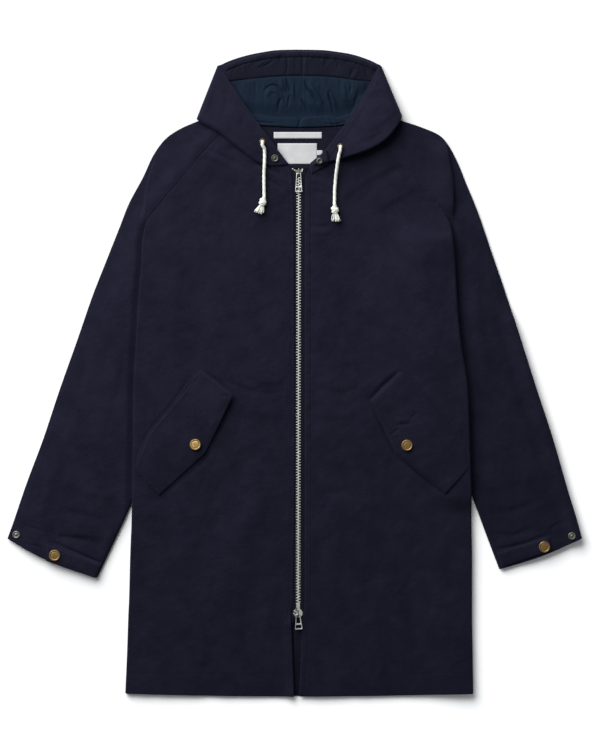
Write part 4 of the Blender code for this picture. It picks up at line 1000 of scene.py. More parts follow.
METALS = {  # name, bright and dark colour, roughness, scale of the patches
    "brass": ("Antique brass", (0.178, 0.114, 0.038), (0.102, 0.064, 0.022), 0.41, 260.0),
    "ring": ("Dull brass ring", (0.15, 0.11, 0.05), (0.07, 0.05, 0.026), 0.4, 300.0),
    "olive": ("Olive nickel", (0.135, 0.135, 0.11), (0.07, 0.07, 0.057), 0.36, 300.0),
    "dull": ("Tarnished nickel", (0.056, 0.056, 0.046), (0.028, 0.028, 0.023), 0.38, 300.0),
    "teeth": ("Rubbed nickel", (0.58, 0.585, 0.56), (0.33, 0.335, 0.325), 0.34, 240.0),
    "nickel": ("Aged nickel", (0.50, 0.505, 0.485), (0.26, 0.265, 0.255), 0.34, 240.0),
}
NAVY = Cotton(
    (0.0042, 0.0041, 0.0093), (0.0059, 0.0059, 0.0122), (0.0062, 0.0064, 0.0132),
    0.85, 0.03, 0.07, (0.44, 0.46, 0.85), 0.55, 0.10, 1.0,
)
# The facing's cloth: a greener navy of its own, and darker than the shell as painted shade, for it lies
# lower, inside the hood, at the neck and in the vent.
INSIDE = NAVY._replace(colour=(0.0030, 0.0034, 0.0070), lighter=(0.0042, 0.0047, 0.0091), pitch=0.5)
TEAL = Cotton(
    (0.0023, 0.0052, 0.0112), (0.0034, 0.0072, 0.0143), (0.0037, 0.0077, 0.0152),
    0.7, 0.03, 0.02, (0.4, 0.6, 0.9), 0.4, 0.05, 0.5,
)


def build_materials():
    look = {
        "shell": cotton_material("Navy cotton shell", NAVY),
        "facing": cotton_material("Navy facing", INSIDE),
        "lining": cotton_material("Teal lining", TEAL),
        "thread": thread_material("Navy thread", (0.0050, 0.0050, 0.0105), 1400.0),
        "cord": thread_material("White cotton cord", (0.47, 0.475, 0.43), 1100.0),
        "tape": tape_material(),
        "label": label_material(),
    }
    for key, metal in METALS.items():
        look[key] = metal_material(*metal)
    return look


# Stage: camera, light and floor.

CAMERA_HEIGHT = 3500.0
VIEW_CENTRE = (9.24, -3.63)
VIEW_LONG_SIDE = 1237.5  # millimetres of the surface that the picture's long side shows
SENSOR = 36.0
KEY_PLACE = (-1150.0, 1700.0, 1450.0)
FLOOR_NEAR = (1.28, 0.36)  # metres from below the light, and how pale the floor is there
FLOOR_FAR = (2.83, 0.92)
FLOOR_HALF = 8000.0
KEY_TARGET = (40.0, 60.0, 0.0)
KEY_SIZE = 2600.0
KEY_POWER = 239.0
ROOM_COLOUR = (0.93, 0.96, 1.0, 1.0)
ROOM_STRENGTH = 0.33


def aimed(made, place, target):
    made.location = Vector(place) * MM
    direction = (Vector(target) - Vector(place)) * MM
    made.rotation_mode = "QUATERNION"
    made.rotation_quaternion = direction.to_track_quat("-Z", "Y")


def build_camera():
    data = bpy.data.cameras.new("camera")
    data.sensor_width = SENSOR
    data.lens = SENSOR * CAMERA_HEIGHT / VIEW_LONG_SIDE
    data.clip_start = 0.1
    data.clip_end = 50.0
    made = placed("camera", data)
    aimed(made, (*VIEW_CENTRE, CAMERA_HEIGHT), (*VIEW_CENTRE, 0.0))
    bpy.context.scene.camera = made


def build_key():
    """The one large light, up and to the left."""
    data = bpy.data.lights.new("key", "AREA")
    data.shape = "RECTANGLE"
    data.size = data.size_y = KEY_SIZE * MM
    data.energy = KEY_POWER
    aimed(placed("key", data), KEY_PLACE, KEY_TARGET)


def build_floor():
    """A plain surface, less pale below the light, so that it looks evenly bright all over."""
    made, tree, shader, place = new_material("Pale floor")
    foot = tuple(side * MM for side in KEY_PLACE[:2])
    from_light = add_node(tree, "ShaderNodeVectorMath", {0: place, 1: (*foot, 0.0)}, operation="DISTANCE")
    share = ranged(tree, from_light.outputs["Value"], FLOOR_NEAR[0], FLOOR_FAR[0], 0.0, 1.0)
    share = worked_out(tree, share, 1.4, "POWER")
    pale = blended(tree, (FLOOR_NEAR[1],) * 3, (FLOOR_FAR[1],) * 3, share)
    feed(tree, shader, {"Base Color": pale, "Roughness": 0.9, "Specular IOR Level": 0.0})
    turns = ((-1, -1), (1, -1), (1, 1), (-1, 1))
    corners = [(i * FLOOR_HALF, j * FLOOR_HALF, 0.0) for i, j in turns]
    floor = mesh_object("floor", corners, [(0, 1, 2, 3)], made, body=None)


def build_stage():
    scene = bpy.context.scene
    scene.view_settings.view_transform = "Standard"
    scene.view_settings.look = "None"
    world = bpy.data.worlds.new("Pale room")
    world.use_nodes = True
    room = world.node_tree
    feed(room, room.nodes["Background"], {"Color": ROOM_COLOUR, "Strength": ROOM_STRENGTH})
    scene.world = world
    build_floor()
    build_key()


# The coat's outline.


def hem_shift(y, x):
    """Rows near the hem follow its dip."""
    dip = HEM_LIFT * ((x - HEM_MIDDLE) / HEM_HALF) ** 2
    share = np.clip((y - HEM_FROM) / HEM_FADE, 0.0, 1.0)
    return y + (HEM_Y - HEM_FROM + dip) * (1.0 - share)


def front_value(side, y, name):
    rows = FRONT[side]
    return smooth_value(column(rows, "y"), column(rows, name), y)


def back_edge(side, y):
    grow, neck, fade = LAP_FADE
    lap = BACK_LAP * np.clip((y - RAGLAN_Y) / grow, 0.0, 1.0) * np.clip((neck - y) / fade, 0.0, 1.0)
    return front_value(side, y, "outer") - INWARD[side] * lap


def beyond_back(side, x, y):
    """How far (x, y) lies outside the back panel."""
    out = INWARD[side] * (back_edge(side, np.minimum(y, FRONT_TOP)) - x)
    over = np.hypot(np.maximum(out, 0.0), y - BACK_TOP)
    return np.where(y > BACK_TOP, over, out)


# Body panels.

BACK_STEP = 9.0  # between rows of the back's grid
BACK_COLUMNS = 61


def build_back(look):
    rows = spaced(HEM_FROM, FRONT_TOP, BACK_STEP)
    y, share = np.meshgrid(rows, np.linspace(0.0, 1.0, BACK_COLUMNS), indexing="ij")
    x = mix(back_edge("left", y) + WALL / 2, back_edge("right", y) - WALL / 2, share)
    neck = smooth_pairs(BACK_NECK, x)
    y = np.where(y > BACK_FLAT_TO, mix(y, neck, smooth_step(BACK_FLAT_TO, FRONT_TOP, y)), y)
    z = np.full_like(x, BACK_LEVEL)
    grid = np.stack([x, hem_shift(y, x), z], -1)
    made = shell_piece("coat_back", grid, look)
    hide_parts("back")
    return made


EDGE_COLUMNS = (0.0, 0.5, 1.2, 2.0, 3.0, 4.2, 5.6, 7.2, 9.2, 11.6)
ZIP_COLUMNS = (14.0, 12.0, 10.6, 9.4, 8.4, 7.6, 6.9, 6.2, 5.2, 4.0, 2.8, 1.6, 0.7, 0.0)
NARROW = 46.0
FRONT_STEP = 2.6
FRONT_COLUMNS = 80  # between both edges
FOLD_ROUND = {"left": 2.5, "right": 2.2}
SIDE_SWELL = {"left": 0.0, "right": 12.8}  # how much prouder than the CAD's the side folds stand
LOW_SWELL = {"left": 1.0, "right": 7.4}  # and below the sleeves
FALL_RUN = {"left": 46.0, "right": 104.0}  # over which a front falls from there to its middle
HEM_STAND = 1.6  # the hem's edge stands off the surface
HEM_STAND_FROM = 90.0  # and rises to that over this distance
VENT_STAND = {"left": 3.8, "right": 0.3}  # so do the open front edges below the zip
PLACKET = {"left": 6.4, "right": 7.8}  # the stitch line beside the zip, from the front edge


def front_columns(width):
    """Distances in from the outer edge, close together at both edges, for rows of this width."""
    scale = np.minimum(1.0, width / NARROW)
    first = np.array(EDGE_COLUMNS)[None, :] * scale[:, None]
    last = width[:, None] - np.array(ZIP_COLUMNS)[None, :] * scale[:, None]
    share = np.linspace(0.0, 1.0, FRONT_COLUMNS + 2)[None, 1:-1]
    middle = first[:, -1:] + (last[:, :1] - first[:, -1:]) * share
    return np.concatenate([first, middle, last], 1)


def placket_relief(y, inside, line, seed):
    """The sewn front edge: a stitched groove with small uneven puckers on both sides."""
    pucker = 0.75 * cloud(inside * 0.35, y, 5.2, seed) + 0.5 * cloud(inside * 0.5, y, 10.5, seed + 1)
    strip = bump(inside - line, 4.6)
    groove = bump(inside - line, 1.0)
    turned = smooth_step(line + 1.0, line - 1.5, inside)
    return 0.5 * pucker * strip - 0.35 * groove + 0.1 * turned


def hem_relief(x, up, seed):
    """The sewn hem: a groove, a doubled strip below it and short uneven ripples."""
    line = HEM_SEAM
    ripple = cloud(x, up * 0.4, 11.0, seed) + 0.6 * cloud(x, up * 0.4, 5.5, seed + 1)
    near = bump(up - line, 9.0)
    groove = bump(up - line, 1.1)
    return 0.3 * ripple * near - 0.3 * groove + 0.15 * smooth_step(line + 1.5, line - 1.5, up)


def front_height(side, y, reach, width):
    """Height of a front over its outer part, which lies on the sleeve, and its inner part."""
    fold, over, tuck = (front_value(side, y, name) for name in ("fold", "over", "tuck"))
    swell = (SIDE_SWELL[side] * (0.96 + 0.12 * cloud(0.0 * y, y, 60.0, SWELL_SEED)) + 0.6) * fold
    level = mix(FRONT_LEVEL + LOW_SWELL[side], FRONT_OVER_SLEEVE + swell, over)
    foot = mix(WALL + GAP + 0.4, SLEEVE_HIGH + WALL / 2 + GAP + 0.4, over)
    flat_to = np.maximum(np.minimum(tuck + 4.0, width * 0.5), 7.0)
    inner = mix(FRONT_OVER_SLEEVE, FRONT_LEVEL, smooth_step(30.0, 90.0, width))
    run = np.minimum(FALL_RUN[side], width * 0.4 + 1.0)
    fall = mix(level, inner, smooth_step(flat_to, flat_to + run, reach))
    share = np.clip(reach / FOLD_ROUND[side], 0.0, 1.0)
    quarter = np.sqrt(1.0 - (1.0 - share) ** 2)
    rounded = mix(foot, fall, quarter)
    seam = fall - 0.15 * bump(reach, 1.4)
    return mix(seam, rounded, np.clip(fold, 0.0, 1.0))


def front_relief(side, x, y, reach, inside, width):
    """The layers of height that are pressed or sewn into a front."""
    seed = SEED[side]["front"]
    up = y - HEM_FROM
    quiet = smooth_step(0.0, 26.0, reach) * smooth_step(0.0, 30.0, inside)
    quiet = quiet * smooth_step(20.0, 80.0, width)
    return [
        crumple(x, y, seed) * (0.25 + 0.75 * quiet) * smooth_step(0.0, 5.0, reach),
        crease_relief(x, y, FRONT_CREASES[side]) * smooth_step(0.0, 6.0, reach),
        placket_relief(y, inside, PLACKET[side], seed + 10) * smooth_step(345.0, 330.0, y),
        hem_relief(x, up, seed + 20),
        HEM_STAND * smooth_step(HEM_STAND_FROM, 0.0, up) * (0.8 + 0.4 * cloud(x, 0.0 * x, 55.0, seed + 21)),
        VENT_STAND[side] * smooth_step(16.0, 1.0, inside) * smooth_step(-398.0, -418.0, y),
        0.2 * cloud(x + y, x - y, 7.0, seed + 30) * bump(reach, 7.0) * smooth_step(240, 262, y),
    ]


def build_front(side, look):
    rows = spaced(HEM_FROM, FRONT_TOP, FRONT_STEP, ((HEM_FROM + HEM_SEAM, 4.0, 1.0), (HEM_FROM, 2.5, 1.0)))
    outer = front_value(side, rows, "outer")
    inner = front_value(side, rows, "inner")
    reach = front_columns(np.abs(inner - outer))
    x = outer[:, None] + INWARD[side] * reach
    y = np.repeat(rows[:, None], x.shape[1], 1)
    width = np.repeat(np.abs(inner - outer)[:, None], x.shape[1], 1)
    inside = width - reach
    z = front_height(side, y, reach, width)
    for layer in front_relief(side, x, y, reach, inside, width):
        z += layer
    on_tape = TAPE_LEVEL + THIN / 2 + WALL / 2 + 0.15
    on_back = BACK_LEVEL + WALL + 1.6
    floor = np.where(inside < TAPE_REACH + 2.0, on_tape, on_back)
    z = np.where(reach > FOLD_ROUND[side], np.maximum(z, floor), z)
    grid = np.stack([x, hem_shift(y, x), z], -1)
    if side == "right":
        grid = grid[:, ::-1]
    made = shell_piece("front_panel_" + side, grid, look, worn=0.2)
    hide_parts("front_" + side)
    return made


# Sleeves.

SLEEVE_OUT = 1.8  # how far in from the outer edge the fold is rounded
PLEAT_STAND = {"left": 0.0, "right": 6.5}  # how far the shoulder pleat stands over the sleeve
PLEAT_FALL = 2.6  # and how far the sleeve falls beside it
SLEEVE_PILLOW = {"left": 4.6, "right": 3.6}  # how high a sleeve swells beside the body's fold
SLEEVE_GROOVE = {"left": 14.0, "right": 32.0}  # within this distance of it
FOLD_TROUGH = {"left": 0.0, "right": 6.0}  # how deep a sleeve is pressed beside the body's fold
EDGE_STAND = {"left": 0.6, "right": 9.0}  # the outer fold stands off the surface
CUFF_STAND = 2.6
SLEEVE_STEP = 2.7
SLEEVE_HEM = 30.0  # the cuff's stitch line, from its edge
SLEEVE_COLUMNS = 65
SLEEVE_UNDER_COLUMNS = 13
SLEEVE_TURN = (0.35, 0.75, 1.15, 1.57, 2.0, 2.45)  # angles round the outer fold
CUFF_BOW = {"left": 6.2, "right": 4.2}  # the cuff's edge bends outward this far


def sleeve_base(side, rows, share):
    """Height of the lower wall: on the back panel, then down on the surface beside it.

    The outer fold and the cuff rise a little from the surface.
    """
    x, y = sleeve_place(rows, share)
    base = mix(SLEEVE_LOW, SLEEVE_FOOT, smooth_step(3.0, 26.0, beyond_back(side, x, y)))
    rise = EDGE_STAND[side] * smooth_step(30.0, 2.0, rows.length * (1.0 - share))
    cuff = CUFF_STAND * smooth_step(26.0, 0.0, rows.to_cuff)
    return base + (rise * smooth_step(0.0, 1.0, rows.closed) + cuff) * smooth_step(0.15, 0.5, share)


# seam and edge: points of a row's two ends. length: between them. to_cuff: how far the cuff is.
# cuff_way: how far the cuff's edge bends outward, along X and Y.
SleeveRows = namedtuple("SleeveRows", "seam edge closed length to_cuff cuff_way")


def sleeve_rows(side):
    """Rows of a sleeve at an even distance, closer together at its stitch line and its cuff."""
    stations = SLEEVE[side]
    index = np.arange(len(stations), dtype=float)

    def line(name, where):
        return np.stack([smooth_value(index, column(stations, name + k), where) for k in ("_x", "_y")], 1)

    fine = np.linspace(0.0, index[-1], 600)
    steps = [np.linalg.norm(np.diff(line(name, fine), axis=0), axis=1) for name in ("edge", "seam")]
    run = np.concatenate([[0.0], np.cumsum(np.maximum(*steps))])
    dense = ((run[-1] - SLEEVE_HEM, 3.0, 1.0), (run[-1], 2.5, 1.0))
    where = np.interp(spaced(0.0, run[-1], SLEEVE_STEP, dense), run, fine)
    seam, edge = line("seam", where), line("edge", where)
    closed = smooth_value(index, column(stations, "closed"), where)
    across = edge - seam
    length = np.hypot(across[:, 0], across[:, 1])
    run = np.concatenate([[0.0], np.cumsum(np.hypot(*np.diff(edge, axis=0).T))])
    cuff_way = np.array((across[-1, 1], -across[-1, 0])) / length[-1]
    cuff_way *= -np.sign(cuff_way[1]) * CUFF_BOW[side]
    return SleeveRows(seam, edge, closed[:, None], length[:, None], (run[-1] - run)[:, None], cuff_way)


def sleeve_place(rows, share):
    """X and Y at this share of the way from the seam to the outer edge."""
    bow = np.sin(np.pi * share) * smooth_step(90.0, 0.0, rows.to_cuff)
    across = (rows.edge - rows.seam)[:, None]
    return [rows.seam[:, None, k] + across[..., k] * share + rows.cuff_way[k] * bow for k in (0, 1)]


def sleeve_relief(side, x, y, share, seed):
    body = crumple(x, y, seed, 0.85) + crease_relief(x, y, SLEEVE_CREASES[side])
    return body * between(share, 0.0, 0.06, 0.95, 1.0)


def pleat_relief(side, x, y):
    """The shoulder pleat: the yoke folds under along a line and stands over the sleeve."""
    past = INWARD[side] * (smooth_pairs(SHOULDER_FOLD[side], y) - x)
    height = PLEAT_FALL * between(y, 246.0, 290.0, 335.0, 385.0)
    stand = PLEAT_STAND[side] * between(y, 250.0, 280.0, 352.0, 388.0)
    return stand * between(past, -44.0, -5.0, -0.6, 1.4) - height * between(past, -1.2, 1.6, 6.0, 34.0)


def sleeve_top(side, rows, share, base):
    """Height of the upper wall. outside: distance from the front's fold or seam, over the sleeve."""
    x, y = sleeve_place(rows, share)
    seed = SEED[side]["sleeve"]
    outside = INWARD[side] * (front_value(side, np.clip(y, HEM_FROM, FRONT_TOP), "outer") - x)
    raglan = smooth_step(238.0, 262.0, y)
    flush = (FRONT_OVER_SLEEVE - SLEEVE_HIGH) * raglan
    lip = smooth_step(0.1, 1.1, outside) * np.exp(-np.maximum(outside - 2.0, 0.0) / 22.0)
    to_edge = rows.length * (1.0 - share)
    near = smooth_step(0.0, SLEEVE_GROOVE[side], outside)
    pillow = SLEEVE_PILLOW[side] * near * smooth_step(0.0, 46.0, to_edge)
    z = base + SLEEVE_RISE + flush * lip + pillow * (1.0 - 0.7 * raglan)
    z -= 0.9 * smooth_step(9.0, 0.0, to_edge) * smooth_step(0.0, 1.0, rows.closed)
    z += sleeve_relief(side, x, y, share, seed) * smooth_step(2.0, 24.0, outside)
    z += pleat_relief(side, x, y) * smooth_step(3.0, 10.0, outside)
    z += hem_relief(x - y, rows.to_cuff + 0.0 * x + (HEM_SEAM - SLEEVE_HEM), seed + 20)
    z -= FOLD_TROUGH[side] * bump(outside - 3.0, 4.5) * (1.0 - raglan)
    z = np.maximum(z, base + WALL + 0.3)
    below_front = (outside < 1.0) & (y < 395.0)
    ceiling = np.where(raglan > 0.5, FRONT_OVER_SLEEVE - WALL - 0.25, SLEEVE_HIGH)
    return np.where(below_front, np.minimum(z, ceiling), z)


def sleeve_turn(rows, inset, high, low):
    """The rounded outer fold, from the upper wall to the lower."""
    turn = []
    for angle in SLEEVE_TURN:
        share = 1.0 - (1.0 - math.sin(angle)) * inset
        place = rows.seam + (rows.edge - rows.seam) * share
        level = (high + low) / 2 + (high - low) / 2 * math.cos(angle)
        turn.append(np.column_stack([place, level]))
    return np.stack(turn, 1)


def build_sleeve(side, look):
    rows = sleeve_rows(side)
    inset = SLEEVE_OUT / rows.length
    upper = np.linspace(0.0, 1.0, SLEEVE_COLUMNS) * (1.0 - inset)
    lower = np.linspace(1.0, 0.0, SLEEVE_UNDER_COLUMNS) * (1.0 - inset)
    base = sleeve_base(side, rows, upper)
    z = sleeve_top(side, rows, upper, base)
    grid = np.concatenate([
        np.stack([*sleeve_place(rows, upper), z], -1),
        sleeve_turn(rows, inset, z[:, -1], base[:, -1]),
        np.stack([*sleeve_place(rows, lower), sleeve_base(side, rows, lower)], -1),
    ], 1)
    closing = smooth_step(0.0, 1.0, rows.closed[:, 0])
    middle = (grid[:, 0, 2] + grid[:, -1, 2]) / 2
    for end, sign in ((0, 1.0), (-1, -1.0)):
        grid[:, end, 2] = mix(grid[:, end, 2], middle + sign * 0.05, closing)
    if side == "left":
        grid = grid[:, ::-1]
    made = shell_piece("sleeve_panel_" + side, grid[::-1], look, worn=0.2)
    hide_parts("sleeve_" + side)
    return made


# Hood.


def opening_line(side):
    """The hood's opening edge, from the rim's corner down to the throat."""
    last = HOOD[side][-1]
    share = np.linspace(0.0, 1.0, 20)
    x = mix(last.rim_x, last.neck_x, share) + HOOD_BOW[side] * np.sin(np.pi * share)
    return np.stack([x, mix(last.rim_y, last.neck_y, share)], 1)


HOOD_TURN = (0.3, 0.6, 0.95, 1.3, 1.7, 2.1, 2.5, 2.9)  # angles round the rolled edge
HOOD_STEP = 0.3  # between the grid's columns, counted in HOOD's columns
HOOD_DENSE = ((7.9, 1.9, 0.1), (12.6, 2.9, 0.085))  # closer together where the edge turns
HOOD_ROW_STEP = 0.018  # as a share of the way from the rim to the lower edge


def hood_surface(side, u, v):
    """Points of a hood half at column u and at v of the way from its rim to its lower edge."""
    columns = HOOD[side]
    index = np.arange(len(columns))
    at = HoodColumn(*(smooth_value(index, column(columns, name), u) for name in HoodColumn._fields))
    bow = HOOD_BOW[side] * np.sin(np.pi * v) * smooth_step(9.5, index[-1], u)
    x = mix(at.rim_x, at.neck_x, v) + bow
    y = mix(at.rim_y, at.neck_y, v)
    z = at.lift_rim * (1.0 - v) * (1.0 - 2.0 * v) + 4.0 * at.lift_half * v * (1.0 - v)
    z = z + at.lift_neck * v * (2.0 * v - 1.0)
    seed = SEED[side]["hood"]
    flap = smooth_step(8.5, 10.5, u)
    far, along = distance_to(opening_line(side), x, y)[:2]
    line = HOOD_CHANNEL
    channel = smooth_step(line + 1.5, line - 2.0, far) - 0.8 * bump(far - line, 1.5)
    pucker = 0.4 * cloud(far * 0.4, along * 190.0, 8.0, seed + 3) * bump(far - line, 7.0)
    spread = smooth_step(0.03, 0.25, v)
    z += flap * spread * (0.12 * channel + 0.6 * pucker)
    z += flap * spread * smooth_step(0.0, 8.0, far) * crumple(x, y, seed, 0.8) * smooth_step(0.0, 0.3, v)
    z += flap * crease_relief(x, y, HOOD_CREASES[side])
    return np.stack([x, y, z], -1)


def resting(end, ahead, under):
    """Heights at which the rolled edge comes down on what lies under it, evened out."""
    rest = heights(under, end[:, 0] + 2.0 * ahead[:, 0], end[:, 1] + 2.0 * ahead[:, 1]) + GAP + WALL / 2
    rest = np.minimum(rest, end[:, 2])
    rest = np.convolve(np.pad(rest, 4, mode="edge"), np.ones(9) / 9.0, mode="valid")
    return np.minimum(rest + 0.3, end[:, 2])


def hood_roll(side, body, u, v, under):
    """The hood half's grid with its lower edge rolled under, where that edge is free."""
    end = body[-1]
    ahead = end - body[-2]
    ahead[:, 2] = 0.0
    ahead /= np.maximum(np.linalg.norm(ahead, axis=1, keepdims=True), 1e-9)
    free = smooth_step(8.2, 9.6, u)
    rest = resting(end, ahead, under)
    middle = (end[:, 2] + rest) / 2
    half = (end[:, 2] - rest) / 2
    rolled = []
    for angle in HOOD_TURN:
        out = HOOD_ROLL[side] * math.sin(angle) - HOOD_TUCK[side] * smooth_step(1.2, 2.9, angle)
        level = mix(end[:, 2], middle + half * math.cos(angle), free)
        out = mix(0.12 * angle, out, free)[:, None]
        rolled.append(np.column_stack([end[:, :2] + ahead[:, :2] * out, level]))
    drawn_in = HOOD_ROLL[side] * 0.9 * free[None, :, None]
    body[:, :, :2] -= ahead[None, :, :2] * (drawn_in * smooth_step(0.75, 1.0, v)[:, None, None])
    rolled = np.stack(rolled)
    rolled[:, :, :2] -= ahead[None, :, :2] * drawn_in
    return np.concatenate([body, rolled])


def build_hood(side, look, under):
    u = spaced(0.0, len(HOOD[side]) - 1.0, HOOD_STEP, HOOD_DENSE)
    v = spaced(0.0, 1.0, HOOD_ROW_STEP)
    grid = hood_roll(side, hood_surface(side, *np.meshgrid(u, v)), u, v, under)
    if side == "left":
        grid = grid[:, ::-1]
    made = shell_piece("hood_half_" + side, grid[::-1], look, worn=0.4)
    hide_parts("hood_" + side)
    return made


def band_grid(bands, step, rows):
    x = spaced(bands[0].x, bands[-1].x, step)
    low, high = (smooth_value(column(bands, "x"), column(bands, name), x) for name in ("low", "high"))
    share = np.linspace(0.0, 1.0, rows)[:, None]
    y = low[None, :] + (high - low)[None, :] * share
    return np.repeat(x[None, :], rows, 0), y, share + 0.0 * y


CENTRE_SEAM = (1.5, 13.0)  # the felled seam down the middle of the hood
SEAM_WIDTH = 1.1
FACING_GRID = (1.3, 40)  # millimetres between columns, and the number of rows
FACING_ENDS = (-118.0, -108.0, 128.0, 140.0)  # it rises between the first two and falls in the last
FACING_FADE = (0.0, 0.06, 0.96, 1.0)  # and so up it, as shares of its width
FACING_ROUND = 1.3  # how far the drawcord's channel stands up in it
LINING_GRID = (1.1, 84)
LINING_ENDS = (-96.0, -80.0, 114.0, 130.0)
LINING_FADE = (-0.004, 0.014, 0.97, 1.0)
LINING_FULL = 3.0  # how far its gathers stand up, before their own height
LINING_TUCKED = 0.6  # the tucks are where the roll is higher than this
BAND_DIP = 0.1  # how far the facing and the lining may sink below their level


def seam_lines(x, places):
    return sum(bump(x - place, SEAM_WIDTH) for place in places)


def brought_down(z, where, limits):
    return mix(FACING_LEVEL, z, between(where, *limits))


def facing_height(x, y, share):
    """The rim facing's height: the round channel of the drawcord, its puckers and creases."""
    top = y[-1][None, :] - y
    line = HOOD_CHANNEL - 1.0
    channel = FACING_ROUND * np.sin(np.pi * np.clip(top / line, 0.0, 1.0)) ** 0.6
    z = FACING_LEVEL + 1.5 + channel * (1.0 + 0.4 * cloud(x, y * 0.3, 9.0, FACING_SEED + 1))
    pucker = cloud(x * 1.2 - y * 0.6, y * 0.3, 5.0, FACING_SEED + 2)
    pucker = pucker + 0.6 * cloud(x - y * 0.3, y * 0.3, 10.0, FACING_SEED + 4)
    z += 0.8 * pucker * bump(top - line, 5.5) - 1.1 * bump(top - line, 1.3)
    z += crease_relief(x, y, FACING_CREASES)
    z += 0.6 * cloud(x, y, 18.0, FACING_SEED + 3)
    z -= 0.6 * seam_lines(x, CENTRE_SEAM) * smooth_step(0.0, 4.0, top)
    z = brought_down(z, x, FACING_ENDS)
    z = brought_down(z, share, FACING_FADE)
    return np.maximum(z, FACING_LEVEL - BAND_DIP)


def build_hood_facing(look):
    x, y, share = band_grid(HOOD_FACING, *FACING_GRID)
    grid = np.stack([x, y, facing_height(x, y, share)], -1)
    made = cloth_piece("hood_rim_facing", grid, THIN, look["facing"], "facing")
    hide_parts("hood_facing")


def lining_roll(x, y, from_neck):
    """The lining's rolled edge over the neck facing: its height, 0 above the roll."""
    top = 17.0 + 3.0 * cloud(x, 0.0 * y, 22.0, LINING_SEED + 2) - 4.5 * bump(x - 9.0, 4.0)
    level = mix(2.5, 1.7, np.clip(from_neck / top, 0.0, 1.0))
    return level * smooth_step(top + 0.6, top - 3.4, from_neck)


def lining_rolled(x, y, from_neck, inside):
    """The height of the rolled edge, with its tucks and the notch beside the middle seam."""
    roll = lining_roll(x, y, from_neck)
    uneven = 1.0 + 0.16 * cloud(x, y * 0.5, 14.0, LINING_SEED + 4)
    tucks = 0.8 * cloud(x * 1.1 + 0.6 * y, y * 0.3, 5.0, LINING_SEED + 3) * smooth_step(20.0, 44.0, x)
    notch = 1.6 * bump(x - 8.5 - 0.25 * (from_neck - 8.0), 2.2)
    level = FACING_LEVEL + inside * (roll * uneven + 0.4)
    return level + inside * (tucks - notch) * (roll > LINING_TUCKED)


def lining_gathers(x, y, share, from_neck, inside):
    """The height of the gathered cloth above the roll."""
    gathers = crease_relief(x, y, LINING_CREASES) + 0.5 * cloud(x * 1.5, y * 0.5, 7.0, LINING_SEED + 1)
    full = np.sin(np.pi * np.clip(share, 0.0, 1.0)) ** 0.35
    full *= mix(0.1, 1.0, smooth_step(18.0, 40.0, from_neck))
    return FACING_LEVEL + 0.4 + inside * full * (LINING_FULL + gathers)


def lining_height(x, y, share):
    from_neck = y - y[0][None, :]
    inside = between(x, *LINING_ENDS)
    z = lining_gathers(x, y, share, from_neck, inside)
    z = np.maximum(z, lining_rolled(x, y, from_neck, inside))
    z += inside * crease_relief(x, y, ROLL_CREASES)
    z -= inside * 0.5 * seam_lines(x, CENTRE_SEAM) * smooth_step(20.0, 26.0, from_neck)
    z = brought_down(z, share, LINING_FADE)
    return np.maximum(z, FACING_LEVEL - BAND_DIP)


def build_lining(look):
    x, y, share = band_grid(LINING, *LINING_GRID)
    grid = np.stack([x, y, lining_height(x, y, share)], -1)
    made = cloth_piece("hood_gathered_lining", grid, THIN, look["lining"], "lining")
    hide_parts("hood_lining")


def build_neck_facing(look):
    x, y, share = band_grid(NECK_FACING, 2.0, 30)
    z = FACING_LEVEL + 0.25 * cloud(x, y, 16.0, NECK_SEED) * np.sin(np.pi * share)
    from_top = y[-1][None, :] - y
    z -= 0.35 * bump(from_top - 5.0, 1.2)
    z = np.maximum(z, FACING_LEVEL - 0.25)
    facing = cloth_piece("back_neck_facing", np.stack([x, y, z], -1), THIN, look["facing"], "facing")
    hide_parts("neck_facing")
    return facing


def build_labels(look, under):
    labels = []
    for name, (x0, y0, x1, y1) in LABELS.items():
        columns = max(6, int((x1 - x0) / 2.0))
        rows = max(5, int((y1 - y0) / 2.0))
        s, t = np.meshgrid(np.linspace(0.0, 1.0, columns), np.linspace(0.0, 1.0, rows))
        x, y = mix(x0, x1, s), mix(y0, y1, t)
        lying = heights(under, x, y, FACING_LEVEL + THIN / 2) + GAP * 0.7 + LABEL_WALL / 2
        lying += 0.25 * (1.0 - np.sin(np.pi * t) ** 0.5) + 0.2 * cloud(x, y, 20.0, LABEL_SEED)
        grid = np.stack([x, y, lying], -1)
        made = cloth_piece("woven_" + name, grid, LABEL_WALL, look["label"], "label", worn=0.0)
        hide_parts(name)
        labels.append(made)
    return labels


# Zip.


def zip_x(y):
    return mix(ZIP_X_BOTTOM, ZIP_X_TOP, np.clip((y - HEM_Y) / (ZIP_TOP - HEM_Y), 0.0, 1.0))


def strip_grid(rows, columns, left, right, level):
    share = np.linspace(0.0, 1.0, columns)[None, :]
    x = left[:, None] + (right - left)[:, None] * share
    y = np.repeat(rows[:, None], columns, 1)
    return np.stack([x, y, np.full_like(x, level)], -1)


